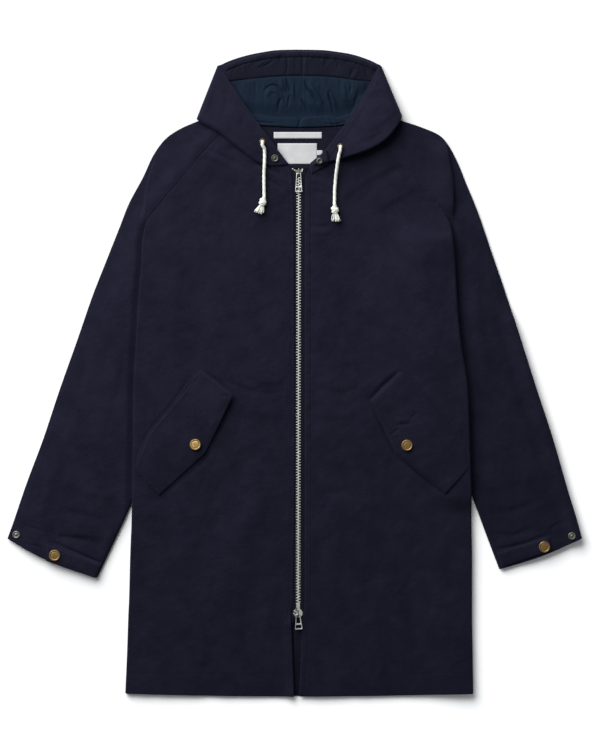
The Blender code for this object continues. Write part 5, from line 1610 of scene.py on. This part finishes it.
def build_tapes(look):
    for side in SIDES:
        turn = -INWARD[side]
        rows = spaced(HEM_Y + 4.0, ZIP_TOP, 5.0, ((ZIP_TOP, 12.0, 1.2),))
        closed = smooth_step(SLIDER_Y["bottom"] - 30.0, SLIDER_Y["bottom"] - 2.0, rows)
        edge = front_value(side, np.maximum(rows, HEM_FROM), "inner")
        closed_near = zip_x(rows) + turn * (TEETH_WIDTH / 2 - 1.6)
        open_near = edge + turn * 0.5
        near = mix(open_near, closed_near, closed)
        far = edge + turn * TAPE_REACH
        left, right = (far, near) if turn < 0 else (near, far)
        grid = strip_grid(rows, 9, left, right, TAPE_LEVEL)
        curl = smooth_step(ZIP_TOP - 9.0, ZIP_TOP, rows)[:, None]
        bare = turn * (edge[:, None] - grid[:, :, 0])
        grid[:, :, 2] += 1.1 * curl + 0.8 * smooth_step(-0.5, 1.5, bare) * closed[:, None]
        made = cloth_piece("zip_tape_strip_" + side, grid, THIN, look["tape"], "facing")
        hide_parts("zip_tape_" + side)


def build_guard(look):
    rows = spaced(-531.0, 342.8, 6.0)
    left = smooth_pairs(GUARD_LEFT[::-1], rows)
    grid = strip_grid(rows, 14, left, np.full_like(left, GUARD_RIGHT), FACING_LEVEL)
    grid[:, :, 2] += 0.2 * np.clip(cloud(grid[:, :, 0], grid[:, :, 1], 22.0, GUARD_SEED), 0.0, 1.0)
    made = cloth_piece("zip_guard_cloth", grid, THIN, look["facing"], "facing")
    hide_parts("zip_guard")


def even(path, count):
    """That many points, evenly spaced, on a line of straight pieces."""
    run = run_of(path)
    where = np.linspace(0.0, run[-1], count)
    return np.stack([np.interp(where, run, path[:, k]) for k in range(path.shape[1])], 1)


TOOTH_PITCH = 4.6
TOOTH_HEIGHT = 2.4


def tooth(x, y, turn, level):
    """One stamped tooth: a clamp on the tape's edge and a rounded head past the middle."""
    body = block((3.0, 1.6, TOOTH_HEIGHT), (x + turn * 2.4, y, level), 0.4)
    head = block((2.8, 2.0, TOOTH_HEIGHT * 0.8), (x + turn * 0.2, y, level + 0.2), 0.45)
    return [body, head]


def build_teeth(look):
    level = TAPE_LEVEL - THIN / 2 + TOOTH_HEIGHT / 2
    low = SLIDER_Y["bottom"] + SLIDER["bottom"][0][1] + 1.0
    high = SLIDER_Y["top"] + SLIDER["top"][-1][1] - 1.0
    count = int((high - low) / TOOTH_PITCH)
    parts = []
    for i in range(count):
        y = low + (i + 0.5) * TOOTH_PITCH
        for turn, shift in ((-1.0, 0.0), (1.0, 0.5)):
            place = y + shift * TOOTH_PITCH
            parts += tooth(float(zip_x(place)), place, turn, level)
    for path in OPEN_TEETH:
        line = even(np.array(path, float), 4)
        for here, after in zip(line, line[1:]):
            middle = (here + after) / 2
            parts.append(block((2.9, 2.1, TOOTH_HEIGHT), (*middle, level + 0.8), 0.6))
    made = mesh_object("zip_teeth_chain", *joined(parts), look["teeth"], "nickel", smooth=False)
    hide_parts("zip_teeth")


def plate_outline(halves):
    """A symmetric outline from (half width, place along) pairs, top first."""
    left = [(-half, along) for half, along in halves[::-1]]
    return np.array([*halves, *left])[::-1]


def counter(outline):
    """The same outline, counter-clockwise."""
    outline = np.array(outline, float)
    after = np.roll(outline, -1, axis=0)
    area = np.sum(outline[:, 0] * after[:, 1] - outline[:, 1] * after[:, 0])
    return outline if area > 0.0 else outline[::-1]


def extruded(outline, low, high, bevel):
    """Points and faces of an outline with bevelled top and bottom edges."""
    outline = np.asarray(outline, float)
    middle = outline.mean(0)
    inset = outline + (middle - outline) * (bevel / np.linalg.norm(outline - middle, axis=1))[:, None]
    layers = ((inset, low), (outline, low + bevel), (outline, high - bevel), (inset, high))
    count = len(outline)
    points = np.concatenate([np.column_stack([line, np.full(count, z)]) for line, z in layers])
    ends = [tuple(range(count))[::-1], tuple(range(3 * count, 4 * count))]
    return points, ends + ring_faces(len(layers), count)


def bail_mesh(x, y, axis):
    """The wire arch on a slider that its pull tab hooks on."""
    run, rise = BAIL_HALF
    arch = []
    for i in range(BAIL_STEPS):
        angle = math.pi * (i - 1.5) / 13.0
        arch.append((x, y - HINGE_BACK + run * math.cos(angle), axis + rise * math.sin(angle) - 0.1))
    return tube_mesh(smooth_path(arch, 30), lambda s, a: BAIL_RADIUS + 0.0 * a, 12)


def build_slider(end, look):
    y = SLIDER_Y[end]
    x = float(zip_x(y))
    low = TAPE_LEVEL + THIN / 2 + GAP
    top = low + PLATE_THICK
    plate = extruded(plate_outline(SLIDER[end]) + (x, y), low, top, 0.6)
    neck_size = (*SLIDER_NECK, low - TAPE_LEVEL + 1.4)
    neck = block(neck_size, (x, y, (low + TAPE_LEVEL - 1.0) / 2 + 0.3), 0.4)
    rib = block(SLIDER_RIB, (x, y + SLIDER_RIB_PLACE, top + 0.3), 0.4)
    # The nib and the bottom slider's proud parts take the paler nickel as a painted highlight on what
    # stands up; the plate, neck, rib and bail stay in the darker olive metal.
    bright = [block(SLIDER_NIB, (x, y + SLIDER_NIB_PLACE, top + 0.2), 0.3)]
    if end == "bottom":
        bright += [extruded(counter(ridge) + (x, y), top - 0.6, top + 0.5, 0.3) for ridge in RIDGES]
    dark = joined([plate, neck, rib, bail_mesh(x, y, top + AXIS_RISE)])
    made = mesh_object("slider_body_" + end, *dark, look["olive"], "nickel", smooth=False)
    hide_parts("slider_" + end)
    mesh_object("slider_ridges_" + end, *joined(bright), look["nickel"], "nickel", smooth=False)


def curve_plate(name, loops, thick, bevel, look, body, place):
    """A flat plate with windows, made from closed outlines, with rounded edges."""
    data = bpy.data.curves.new(name, "CURVE")
    data.dimensions = "2D"
    data.fill_mode = "BOTH"
    data.extrude = (thick / 2 - bevel) * MM
    data.bevel_depth = bevel * MM
    data.bevel_resolution = 2
    data.offset = -bevel * MM
    for loop in loops:
        spline = data.splines.new("POLY")
        spline.points.add(len(loop) - 1)
        spline.use_cyclic_u = True
        for target, (px, py) in zip(spline.points, loop):
            target.co = (px * MM, py * MM, 0.0, 1.0)
    curve = placed(name + "_curve", data)
    bpy.context.view_layer.update()
    graph = bpy.context.evaluated_depsgraph_get()
    mesh = bpy.data.meshes.new_from_object(curve.evaluated_get(graph))
    bpy.data.objects.remove(curve, do_unlink=True)
    mesh.transform(Matrix.Translation(Vector(place) * MM))
    mesh.materials.clear()
    mesh.materials.append(look)
    made = placed(name, mesh)
    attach(made, body)
    return made


def build_pull(end, look):
    """The pull tab: a long window round its bail, and a wide one in its foot."""
    pull = PULL[end]
    axis = TAPE_LEVEL + THIN / 2 + GAP + PLATE_THICK + AXIS_RISE
    place = (float(zip_x(SLIDER_Y[end])), SLIDER_Y[end] - HINGE_BACK, axis)
    loops = [plate_outline(pull.outline)]
    for half_high, high, half_low, low in pull.windows:
        window = np.array(((-half_high, high), (-half_low, low), (half_low, low), (half_high, high)))
        loops.append(window + (pull.shift, 0.0))
    turn = math.radians(pull.turn)
    spin = np.array(((math.cos(turn), math.sin(turn)), (-math.sin(turn), math.cos(turn))))
    loops = [loop @ spin for loop in loops]
    nickel = look["nickel"]
    made = curve_plate("pull_tab_" + end, loops, PULL_THICK, 0.3, nickel, end + "_tab", place)
    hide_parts("pull_" + end)


# Flaps and straps.


def corner_path(points, radius):
    """A line through these points whose inner corners are rounded."""
    points = [np.array(p, float) for p in points]
    line = [points[0]]
    for before, corner, after in zip(points, points[1:], points[2:]):
        start = corner + (before - corner) / np.linalg.norm(before - corner) * radius
        finish = corner + (after - corner) / np.linalg.norm(after - corner) * radius
        for i in range(5):
            t = i / 4.0
            line.append((1 - t) ** 2 * start + 2 * t * (1 - t) * corner + t * t * finish)
    line.append(points[-1])
    return np.array(line)


def border_distance(x, y, loop):
    return distance_to(np.concatenate([loop, loop[:1]]), x, y)[0]


# lift: places that stand up, with their radius and height. sink: how far the flap sinks towards
# its sewn edge. press: how far its free edges are pressed down.
Flap = namedtuple("Flap", "lift creases sink press")
FLAP_LOOK = {
    "left": Flap(
        ((-101, -37, 30.0, 7.0), (-147, -132, 26.0, 1.2), (-124, -84, 30.0, 4.2)),
        table(Crease, (
            (((-138, -26), (-128, -34), (-118, -52)), 4, 1.2, 0.6),
            (((-144, -8), (-138, -14), (-135, -22)), 2.4, -1.0, 0.7),
            (((-132, -26), (-127, -33), (-123, -42)), 2.4, -1.0, 0.7),
            (((-124, -38), (-112, -37), (-104, -38)), 2.4, -1.3, 0.6),
            (((-152, -74), (-146, -68), (-142, -84)), 4, 0.9, 0.6),
            (((-190, -80), (-176, -118), (-196, -150)), 12, 0.8, 0.8),
            (((-152.6, -0.9), (-177, -26), (-200.6, -53.6)), 1.9, -1.1, 0.8),
        )),
        1.3,
        0.0,
    ),
    "right": Flap(
        ((150, -20, 26.0, 2.2), (126, -45, 28.0, 2.2), (168, -132, 24.0, 0.7), (247, -199, 22.0, 0.7)),
        table(Crease, (
            (((167, -86), (180, -84), (193, -83)), 2.0, -1.8, 0.8),
            (((167, -80), (181, -78), (195, -76)), 3.4, 0.8, 0.7),
            (((187, -77), (195, -71), (202, -65)), 2.0, -1.3, 0.8),
            (((157, -103), (165, -96), (173, -90)), 2.2, -1.3, 0.8),
            (((210, -70), (222, -120), (236, -150)), 11, 0.8, 0.8),
        )),
        1.7,
        1.8,
    ),
}
FLAP_INSET = 6.0  # of its stitches, from its edge
STRAP_INSET = 4.0
PATCH_STEP = 1.25  # between rows of a flap's or strap's grid
FLAP_COLUMNS = 96
STRAP_COLUMNS = 80


def flap_sewn(side):
    """The flap's sewn edge, which bends a little towards the side fold."""
    outline = POCKET_FLAP[side]
    return smooth_path([outline[0], *FLAP_BEND[side], outline[-1]], FLAP_COLUMNS)


def patch_grid(sewn, free, step):
    """A grid from a sewn edge to a free edge."""
    length = np.linalg.norm(sewn - free, axis=1).max()
    share = spaced(0.0, 1.0, step / length, ((0.0, 4.0 / length, 0.4 * step / length),))
    share = share[:, None, None]
    return sewn[None] * (1.0 - share) + free[None] * share


def lying_on(trees, x, y, passes, fallback):
    """Heights at which a patch clears what lies under it, evened out."""
    z = heights(trees, x, y, fallback)
    rows, columns = z.shape
    for _ in range(passes):
        padded = np.pad(z, 1, mode="edge")
        around = [padded[i:i + rows, j:j + columns] for i in range(3) for j in range(3)]
        z = np.maximum(z, np.mean(around, axis=0))
    return z + GAP + WALL / 2


def patch(sewn, free, step, under, passes, fallback=0.0):
    """A patch's places, the heights at which it lies on the cloth, and distances from its border."""
    flat = patch_grid(sewn, free, step)
    x, y = flat[..., 0], flat[..., 1]
    far = border_distance(x, y, np.concatenate([sewn, free[::-1]]))
    return x, y, lying_on(under, x, y, passes, fallback), far


def stitch_groove(far, line, seed, x, y):
    """A stitch line at this distance from the border, with its small puckers."""
    groove = bump(far - line, 0.9)
    pucker = cloud(x, y, 4.5, seed) * bump(far - line, 3.5)
    return 0.1 * pucker - 0.2 * groove


def flap_height(side, x, y, z, far, sewn):
    """A pocket flap's height: its lie, creases and stitch groove over what it rests on."""
    shape = FLAP_LOOK[side]
    seed = SEED[side]["flap"]
    for cx, cy, radius, height in shape.lift:
        z += height * hump(x, y, (cx, cy), radius ** 2)
    z += crease_relief(x, y, shape.creases)
    z += 0.35 * (crumple(x, y, seed, 0.8) + 1.2)
    z += stitch_groove(far, FLAP_INSET, seed + 5, x, y)
    z += 0.5 * smooth_step(0.0, 2.5, far)
    from_sewn = distance_to(sewn[::5], x, y)[0]
    z -= shape.sink * smooth_step(38.0, 0.0, from_sewn) + 0.6 * smooth_step(4.0, 0.0, from_sewn)
    z -= 1.4 * bump(from_sewn - 1.7, 0.8)
    from_free = distance_to(np.array(POCKET_FLAP[side][:4], float), x, y)[0]
    return z - shape.press * smooth_step(5.0, 0.0, from_free)


def build_flap(side, look, under):
    free = even(corner_path(POCKET_FLAP[side][1:-1], 3.0), FLAP_COLUMNS)
    sewn = flap_sewn(side)
    x, y, z, far = patch(sewn, free, PATCH_STEP, under, 3)
    grid = np.stack([x, y, flap_height(side, x, y, z, far, sewn)], -1)
    if side == "left":
        grid = grid[:, ::-1]
    made = shell_piece("flap_" + side, grid[::-1], look, worn=0.15)
    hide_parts("pocket_flap_" + side)
    return made


def build_strap(side, look, under):
    foot_low, foot, tip, tip_low = (np.array(p, float) for p in CUFF_STRAP[side])
    seed = SEED[side]["strap"]
    free = even(corner_path((foot, tip), 2.0), STRAP_COLUMNS)
    sewn = even(np.array([foot_low, tip_low]), STRAP_COLUMNS)
    x, y, z, far = patch(sewn, free, PATCH_STEP, under, 3, 4.0)
    z += stitch_groove(far, STRAP_INSET, seed, x, y) + 0.3 * (cloud(x, y, 17.0, seed + 1) + 1.0)
    z -= 0.3 * hump(x, y, SNAP_PLACES["cuff_snap_" + side], 100.0)
    z += 0.9 * hump(x, y, foot_low if side == "left" else tip_low, 500.0)
    z += 0.4 * smooth_step(0.0, 2.5, far)
    pressed = distance_to(np.array([foot_low, tip_low, tip]), x, y)[0]
    z -= 1.9 * smooth_step(5.0, 0.0, pressed)
    grid = np.stack([x, y, z], -1)
    if side == "right":
        grid = grid[:, ::-1]
    made = shell_piece("strap_" + side, oriented(grid), look, worn=0.15)
    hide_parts("cuff_strap_" + side)
    return made


def oriented(grid):
    """The same grid, turned so that its normals point up."""
    return grid if grid_normals(grid)[..., 2].mean() > 0.0 else grid[::-1]


# Fastenings.

# Turned shapes from the middle of the top to the middle of the foot, as shares of the radius
# and of the height: a cap with a low dome, a fine ring groove and a rolled rim; a stud with its
# post in a ringed washer; a socket with a raised ring round a hollow.
CAP_SHAPE = (
    (0.0, 0.80), (0.30, 0.82), (0.52, 0.80), (0.60, 0.76), (0.66, 0.70), (0.72, 0.78), (0.80, 0.92),
    (0.88, 0.94), (0.95, 0.78), (0.99, 0.50), (1.0, 0.25), (0.96, 0.0), (0.0, 0.0),
)
STUD_SHAPE = (
    (0.0, 1.0), (0.20, 0.99), (0.30, 0.90), (0.34, 0.75), (0.30, 0.45), (0.42, 0.34), (0.58, 0.34),
    (0.70, 0.50), (0.84, 0.58), (0.95, 0.44), (1.0, 0.22), (0.98, 0.0), (0.0, 0.0),
)
SOCKET_SHAPE = (
    (0.0, 0.30), (0.26, 0.30), (0.36, 0.60), (0.44, 0.96), (0.62, 1.0), (0.80, 0.86), (0.95, 0.56),
    (1.0, 0.25), (0.98, 0.0), (0.0, 0.0),
)


def scaled(shape, size):
    radius, height = size
    return [(radius * out, height * up) for out, up in shape]


def eyelet_profile():
    outer, hole, height = EYELET
    middle = (outer + hole) / 2
    return (
        (hole, 0.0),
        (hole, height * 0.55),
        (hole + 0.35, height * 0.88),
        (middle, height),
        (outer - 0.4, height * 0.78),
        (outer, height * 0.35),
        (outer, 0.0),
        (hole, 0.0),
    )


def turned_piece(name, profile, place, look, slot, node, lean=(0.0, 0.0)):
    """A turned fastening. lean: how much it rises along X and Y, as slopes."""
    points, faces = turned_mesh(profile)
    points[:, 2] += points[:, 0] * lean[0] + points[:, 1] * lean[1]
    made = mesh_object(name, points + np.array(place), faces, look, slot)
    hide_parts(node)


SEAT_SHARE = 0.8  # the share of a fastening's radius that rests on the cloth


def build_snaps(look, trees):
    cap, stud = scaled(CAP_SHAPE, SNAP_CAP), scaled(STUD_SHAPE, STUD)
    for node, (x, y) in SNAP_PLACES.items():
        lean = SNAP_LEAN.get(node, (0.0, 0.0))
        low = seat(trees, x, y, SNAP_CAP[0] * SEAT_SHARE) - 0.5 + 3.0 * math.hypot(*lean)
        turned_piece(node + "_cap", cap, (x, y, low), look["brass"], "brass", node, lean)
    for node, (x, y) in STUD_PLACES.items():
        low = seat(trees, x, y, STUD[0] * SEAT_SHARE) - 0.4
        metal = look["dull" if node == "throat_stud" else "olive"]
        turned_piece(node + "_turned", stud, (x, y, low), metal, "nickel", node)


def build_throat_tab(look, trees):
    foot, near, tip, far = (np.array(p, float) for p in THROAT_TAB)
    sewn = even(np.array([foot, far]), TAB_COLUMNS)
    free = even(np.array([near, tip]), TAB_COLUMNS)
    x, y, z, edge = patch(sewn, free, TAB_STEP, trees, 4)
    z += stitch_groove(edge, TAB_INSET, TAB_SEED, x, y) + 0.5 * smooth_step(0.0, 2.0, edge)
    z += THROAT_TAB_LIFT * smooth_step(far[0] - 22.0, far[0] - 4.0, x)
    grid = oriented(np.stack([x, y, z], -1))
    made = shell_piece("throat_tab_cloth", grid, look, "facing")
    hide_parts("throat_tab")
    x, y = THROAT_SOCKET
    place = (x, y, seat(tree_of([made]), x, y, SOCKET[0] * SEAT_SHARE) - 0.4)
    socket = scaled(SOCKET_SHAPE, SOCKET)
    turned_piece("throat_socket_ring", socket, place, look["dull"], "nickel", "throat_socket")


# Drawcords.


def cord_line(side, trees, end_height):
    """The cord's middle: up out of its eyelet, over, and down along what lies under it."""
    radius = CORD / 2
    x0, y0 = EYELET_PLACES[side]
    start = seat(trees, x0, y0, EYELET[0]) + 0.6
    path = []
    for i in range(5):
        angle = math.pi / 2 * i / 4
        ahead = CORD_BEND * (1.0 - math.cos(angle))
        path.append((x0, y0 - ahead, start + CORD_BEND * math.sin(angle)))
    route = even(np.array(CORD_ROUTE[side], float), 11)
    for x, y in route[1:]:
        around = [height_at(trees, x + i * 2.5, y + j * 5.0) for i in (-1, 0, 1) for j in (-1, 0, 1)]
        path.append((x, y, max(max(around) + radius + 0.2, path[-1][2] - 3.0)))
    path[-1] = (*path[-1][:2], end_height)
    return smooth_path(path, 130)


def strand_radius(along, angles):
    """Three strands that twist along the cord."""
    turn = along / 4.2
    bulge = np.abs(np.cos(1.5 * (angles - turn)))
    return CORD / 2 * (0.86 + 0.14 * bulge)


def fibre_radius(thick, twist):
    """A tube's radius with three strands that twist along it."""
    return lambda along, angles: thick + 0.25 * np.abs(np.cos(1.5 * (angles - along / twist)))


def strand(rng, origin, down, across):
    """One frayed strand of the tassel."""
    angle = math.tau * rng.random()
    spread = math.sqrt(rng.random())
    high, wide = math.sin(angle), math.cos(angle)
    start = origin + down * 11.0 + across * 2.2 * spread * wide
    start = start + np.array((0.0, 0.0, 1.8 * spread * high))
    length = 12.0 + 4.0 * rng.random()
    finish = start + down * length + across * (5.6 * spread * wide + rng.normal(0.0, 0.5))
    finish = finish + np.array((0.0, 0.0, 2.2 * spread * high))
    middle = (start + finish) / 2 + across * rng.normal(0.0, 0.7)
    line = smooth_path(np.array([start, middle, finish]), 8)
    thick = 0.62 + 0.25 * rng.random()
    return tube_mesh(line, lambda along, angles: thick + 0.0 * angles, 6)


def knot_parts(side, place):
    """A pulled-tight overhand knot round the cord, and the frayed strands below it."""
    rng = np.random.default_rng(SEED[side]["knot"])
    turn = KNOT_TURN[side]
    down = np.array((math.sin(turn), -math.cos(turn), 0.0))
    across = np.array((math.cos(turn), math.sin(turn), 0.0))
    origin = np.array(place)
    angles = np.linspace(0.0, math.tau, 25)
    parts = []
    for lean, depth, size in ((0.62, 6.4, 1.0), (-0.55, 7.6, 0.9)):
        ring = origin + np.outer(depth + lean * 3.6 * np.cos(angles), down)
        ring += np.outer(3.3 * size * np.cos(angles), across)
        ring[:, 2] += 1.9 * size * np.sin(angles)
        parts.append(tube_mesh(ring, fibre_radius(3.0, 3.0), 16))
    core = [origin + down * d for d in np.linspace(0.0, 13.0, 12)]
    parts.append(tube_mesh(core, fibre_radius(3.6, 4.0), 16))
    return parts + [strand(rng, origin, down, across) for _ in range(TASSEL_STRANDS)]


def build_cord(side, look, trees):
    x, y = EYELET_PLACES[side]
    place = (x, y, seat(trees, x, y, EYELET[0] * SEAT_SHARE) - 0.4)
    turned_piece("eyelet_ring_" + side, eyelet_profile(), place, look["ring"], "brass", "eyelet_" + side)
    end_x, end_y = CORD_ROUTE[side][-1]
    below = [height_at(trees, end_x + i, end_y - 6.0 + j) for i in (-6, 0, 6) for j in (-12, 0, 12)]
    line = cord_line(side, trees, max(below) + 5.0)
    cord = tube_mesh(line, strand_radius, 24)
    made = mesh_object("drawcord_twist_" + side, *cord, look["cord"], "cord")
    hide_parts("drawcord_" + side)
    knot = mesh_object("cord_knot_" + side, *joined(knot_parts(side, line[-1])), look["cord"], "cord")
    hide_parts("cord_end_" + side)


# Stitches.

PANEL_PITCH = 3.2
FLAP_PITCH = 3.0
STITCH_HALF = 0.3  # half a stitch's thickness
STITCH_GAP = 0.35  # at each end of a stitch
CORNER_GAP = 0.5  # between one line of stitches and the next, at a square corner
HEM_LINE_ENDS = (6.0, 3.0)  # how far the hem's stitches end from the side fold and the front edge
PLACKET_LINE = (-520.0, 330.0)  # between these the stitches run beside the zip


def stitch_mesh(start, finish, side, ends):
    """Points and faces of one stitch: a small capsule. ends: the cloth's height below both ends."""
    points = []
    for share, size in ((0.0, 0.35), (0.18, 1.0), (0.82, 1.0), (1.0, 0.35)):
        point = start + (finish - start) * share
        level = mix(ends[0], ends[1], share) + 0.12
        for turn in (0.25, 0.75, 1.25, 1.75):
            out = side * STITCH_HALF * size * math.cos(turn * math.pi)
            points.append((*(point + out), level + STITCH_HALF * size * math.sin(turn * math.pi)))
    return np.array(points), [(3, 2, 1, 0), (12, 13, 14, 15), *ring_faces(4, 4)]


def stitch_run(path, trees, pitch, rng):
    """Stitches along a line on the cloth, each a little to one side of it, with gaps between."""
    path = np.asarray(path, float)
    run = np.linalg.norm(np.diff(path, axis=0), axis=1).sum()
    marks = even(path, max(2, int(run / pitch)) + 1)
    parts = []
    for a, b in zip(marks, marks[1:]):
        length = np.linalg.norm(b - a)
        if length < 1e-6:
            continue
        ahead = (b - a) / length
        side = np.array((-ahead[1], ahead[0]))
        shift = side * rng.normal(0.0, 0.06)
        start = a + ahead * STITCH_GAP + shift
        finish = b - ahead * STITCH_GAP + shift
        high = height_at(trees, *((start + finish) / 2), -1.0)
        if high >= 0.0:
            ends = [height_at(trees, *point, high) for point in (start, finish)]
            parts.append(stitch_mesh(start, finish, side, ends))
    return parts


def inset_line(points, inset):
    """An open line moved to its left by this distance."""
    points = np.asarray(points, float)
    ahead = np.gradient(points, axis=0)
    ahead /= np.linalg.norm(ahead, axis=1, keepdims=True)
    return points + np.stack([-ahead[:, 1], ahead[:, 0]], 1) * inset


def inset_edges(corners, edges, inset):
    """Lines beside these edges, inside the outline, that stop short of its corners."""
    middle = corners.mean(0)
    lines = []
    for a, b in edges:
        ahead = (b - a) / np.linalg.norm(b - a)
        inward = np.array((-ahead[1], ahead[0]))
        if np.dot(inward, middle - a) < 0:
            inward = -inward
        cut = ahead * (inset + CORNER_GAP)
        lines.append((a + inward * inset + cut, b + inward * inset - cut))
    return lines


def panel_lines(side):
    """The stitch lines of a front: over the hem, and beside the zip."""
    outer, inner = (float(front_value(side, HEM_FROM, name)) for name in ("outer", "inner"))
    from_outer, from_inner = HEM_LINE_ENDS
    x = np.linspace(outer + INWARD[side] * from_outer, inner - INWARD[side] * from_inner, 60)
    hem = np.stack([x, hem_shift(np.full_like(x, HEM_FROM), x) + HEM_SEAM], 1)
    y = np.linspace(*PLACKET_LINE, 160)
    placket = np.stack([front_value(side, y, "inner") - INWARD[side] * PLACKET[side], y], 1)
    return [hem, placket]


def flap_lines(side):
    corners = np.array(POCKET_FLAP[side], float)
    sewn = inset_line(flap_sewn(side), INWARD[side] * FLAP_INSET)[4:-4]
    return [*inset_edges(corners, zip(corners, corners[1:]), FLAP_INSET), sewn]


def strap_lines(side):
    corners = np.array(CUFF_STRAP[side], float)
    return inset_edges(corners, zip(corners, np.roll(corners, -1, axis=0)), STRAP_INSET)


def hood_lines(side):
    return [inset_line(opening_line(side), -INWARD[side] * HOOD_CHANNEL)[1:-1]]


def build_stitches(look, panels, flaps, straps, hoods):
    """Three pieces of stitches. Each row: the lines, the cloths below them, and the pitch."""
    rng = np.random.default_rng(STITCH_SEED)
    patches = []
    for side in SIDES:
        patches.append((flap_lines(side), [flaps[side]], FLAP_PITCH))
        patches.append((strap_lines(side), [straps[side]], FLAP_PITCH))
    pieces = {
        "panel_stitches": [(panel_lines(side), panels, PANEL_PITCH) for side in SIDES],
        "flap_stitches": patches,
        "hood_stitches": [(hood_lines(side), [hoods[side]], FLAP_PITCH) for side in SIDES],
    }
    for name, rows in pieces.items():
        parts = []
        for lines, cloths, pitch in rows:
            trees = tree_of(cloths)
            for line in lines:
                parts += stitch_run(line, trees, pitch, rng)
        mesh_object(name, *joined(parts), look["thread"], "shell")


def build_coat():
    look = build_materials()
    back = build_back(look)
    sleeves = {side: build_sleeve(side, look) for side in SIDES}
    fronts = {side: build_front(side, look) for side in SIDES}
    panels = [back, *sleeves.values(), *fronts.values()]
    panel_trees = tree_of(panels)
    hoods = {side: build_hood(side, look, panel_trees) for side in SIDES}
    build_hood_facing(look)
    build_lining(look)
    facing = build_neck_facing(look)
    labels = build_labels(look, tree_of([facing]))
    build_tapes(look)
    build_guard(look)
    build_teeth(look)
    for end in SLIDER_Y:
        build_slider(end, look)
        build_pull(end, look)
    flaps = {side: build_flap(side, look, tree_of([fronts[side]])) for side in SIDES}
    straps = {side: build_strap(side, look, tree_of([sleeves[side]])) for side in SIDES}
    trees = tree_of([*panels, *hoods.values(), *flaps.values(), *straps.values()])
    build_snaps(look, trees)
    build_throat_tab(look, trees + tree_of([facing, *labels]))
    for side in SIDES:
        build_cord(side, look, trees)
    build_stitches(look, panels, flaps, straps, hoods)


build_camera()
build_stage()
build_coat()
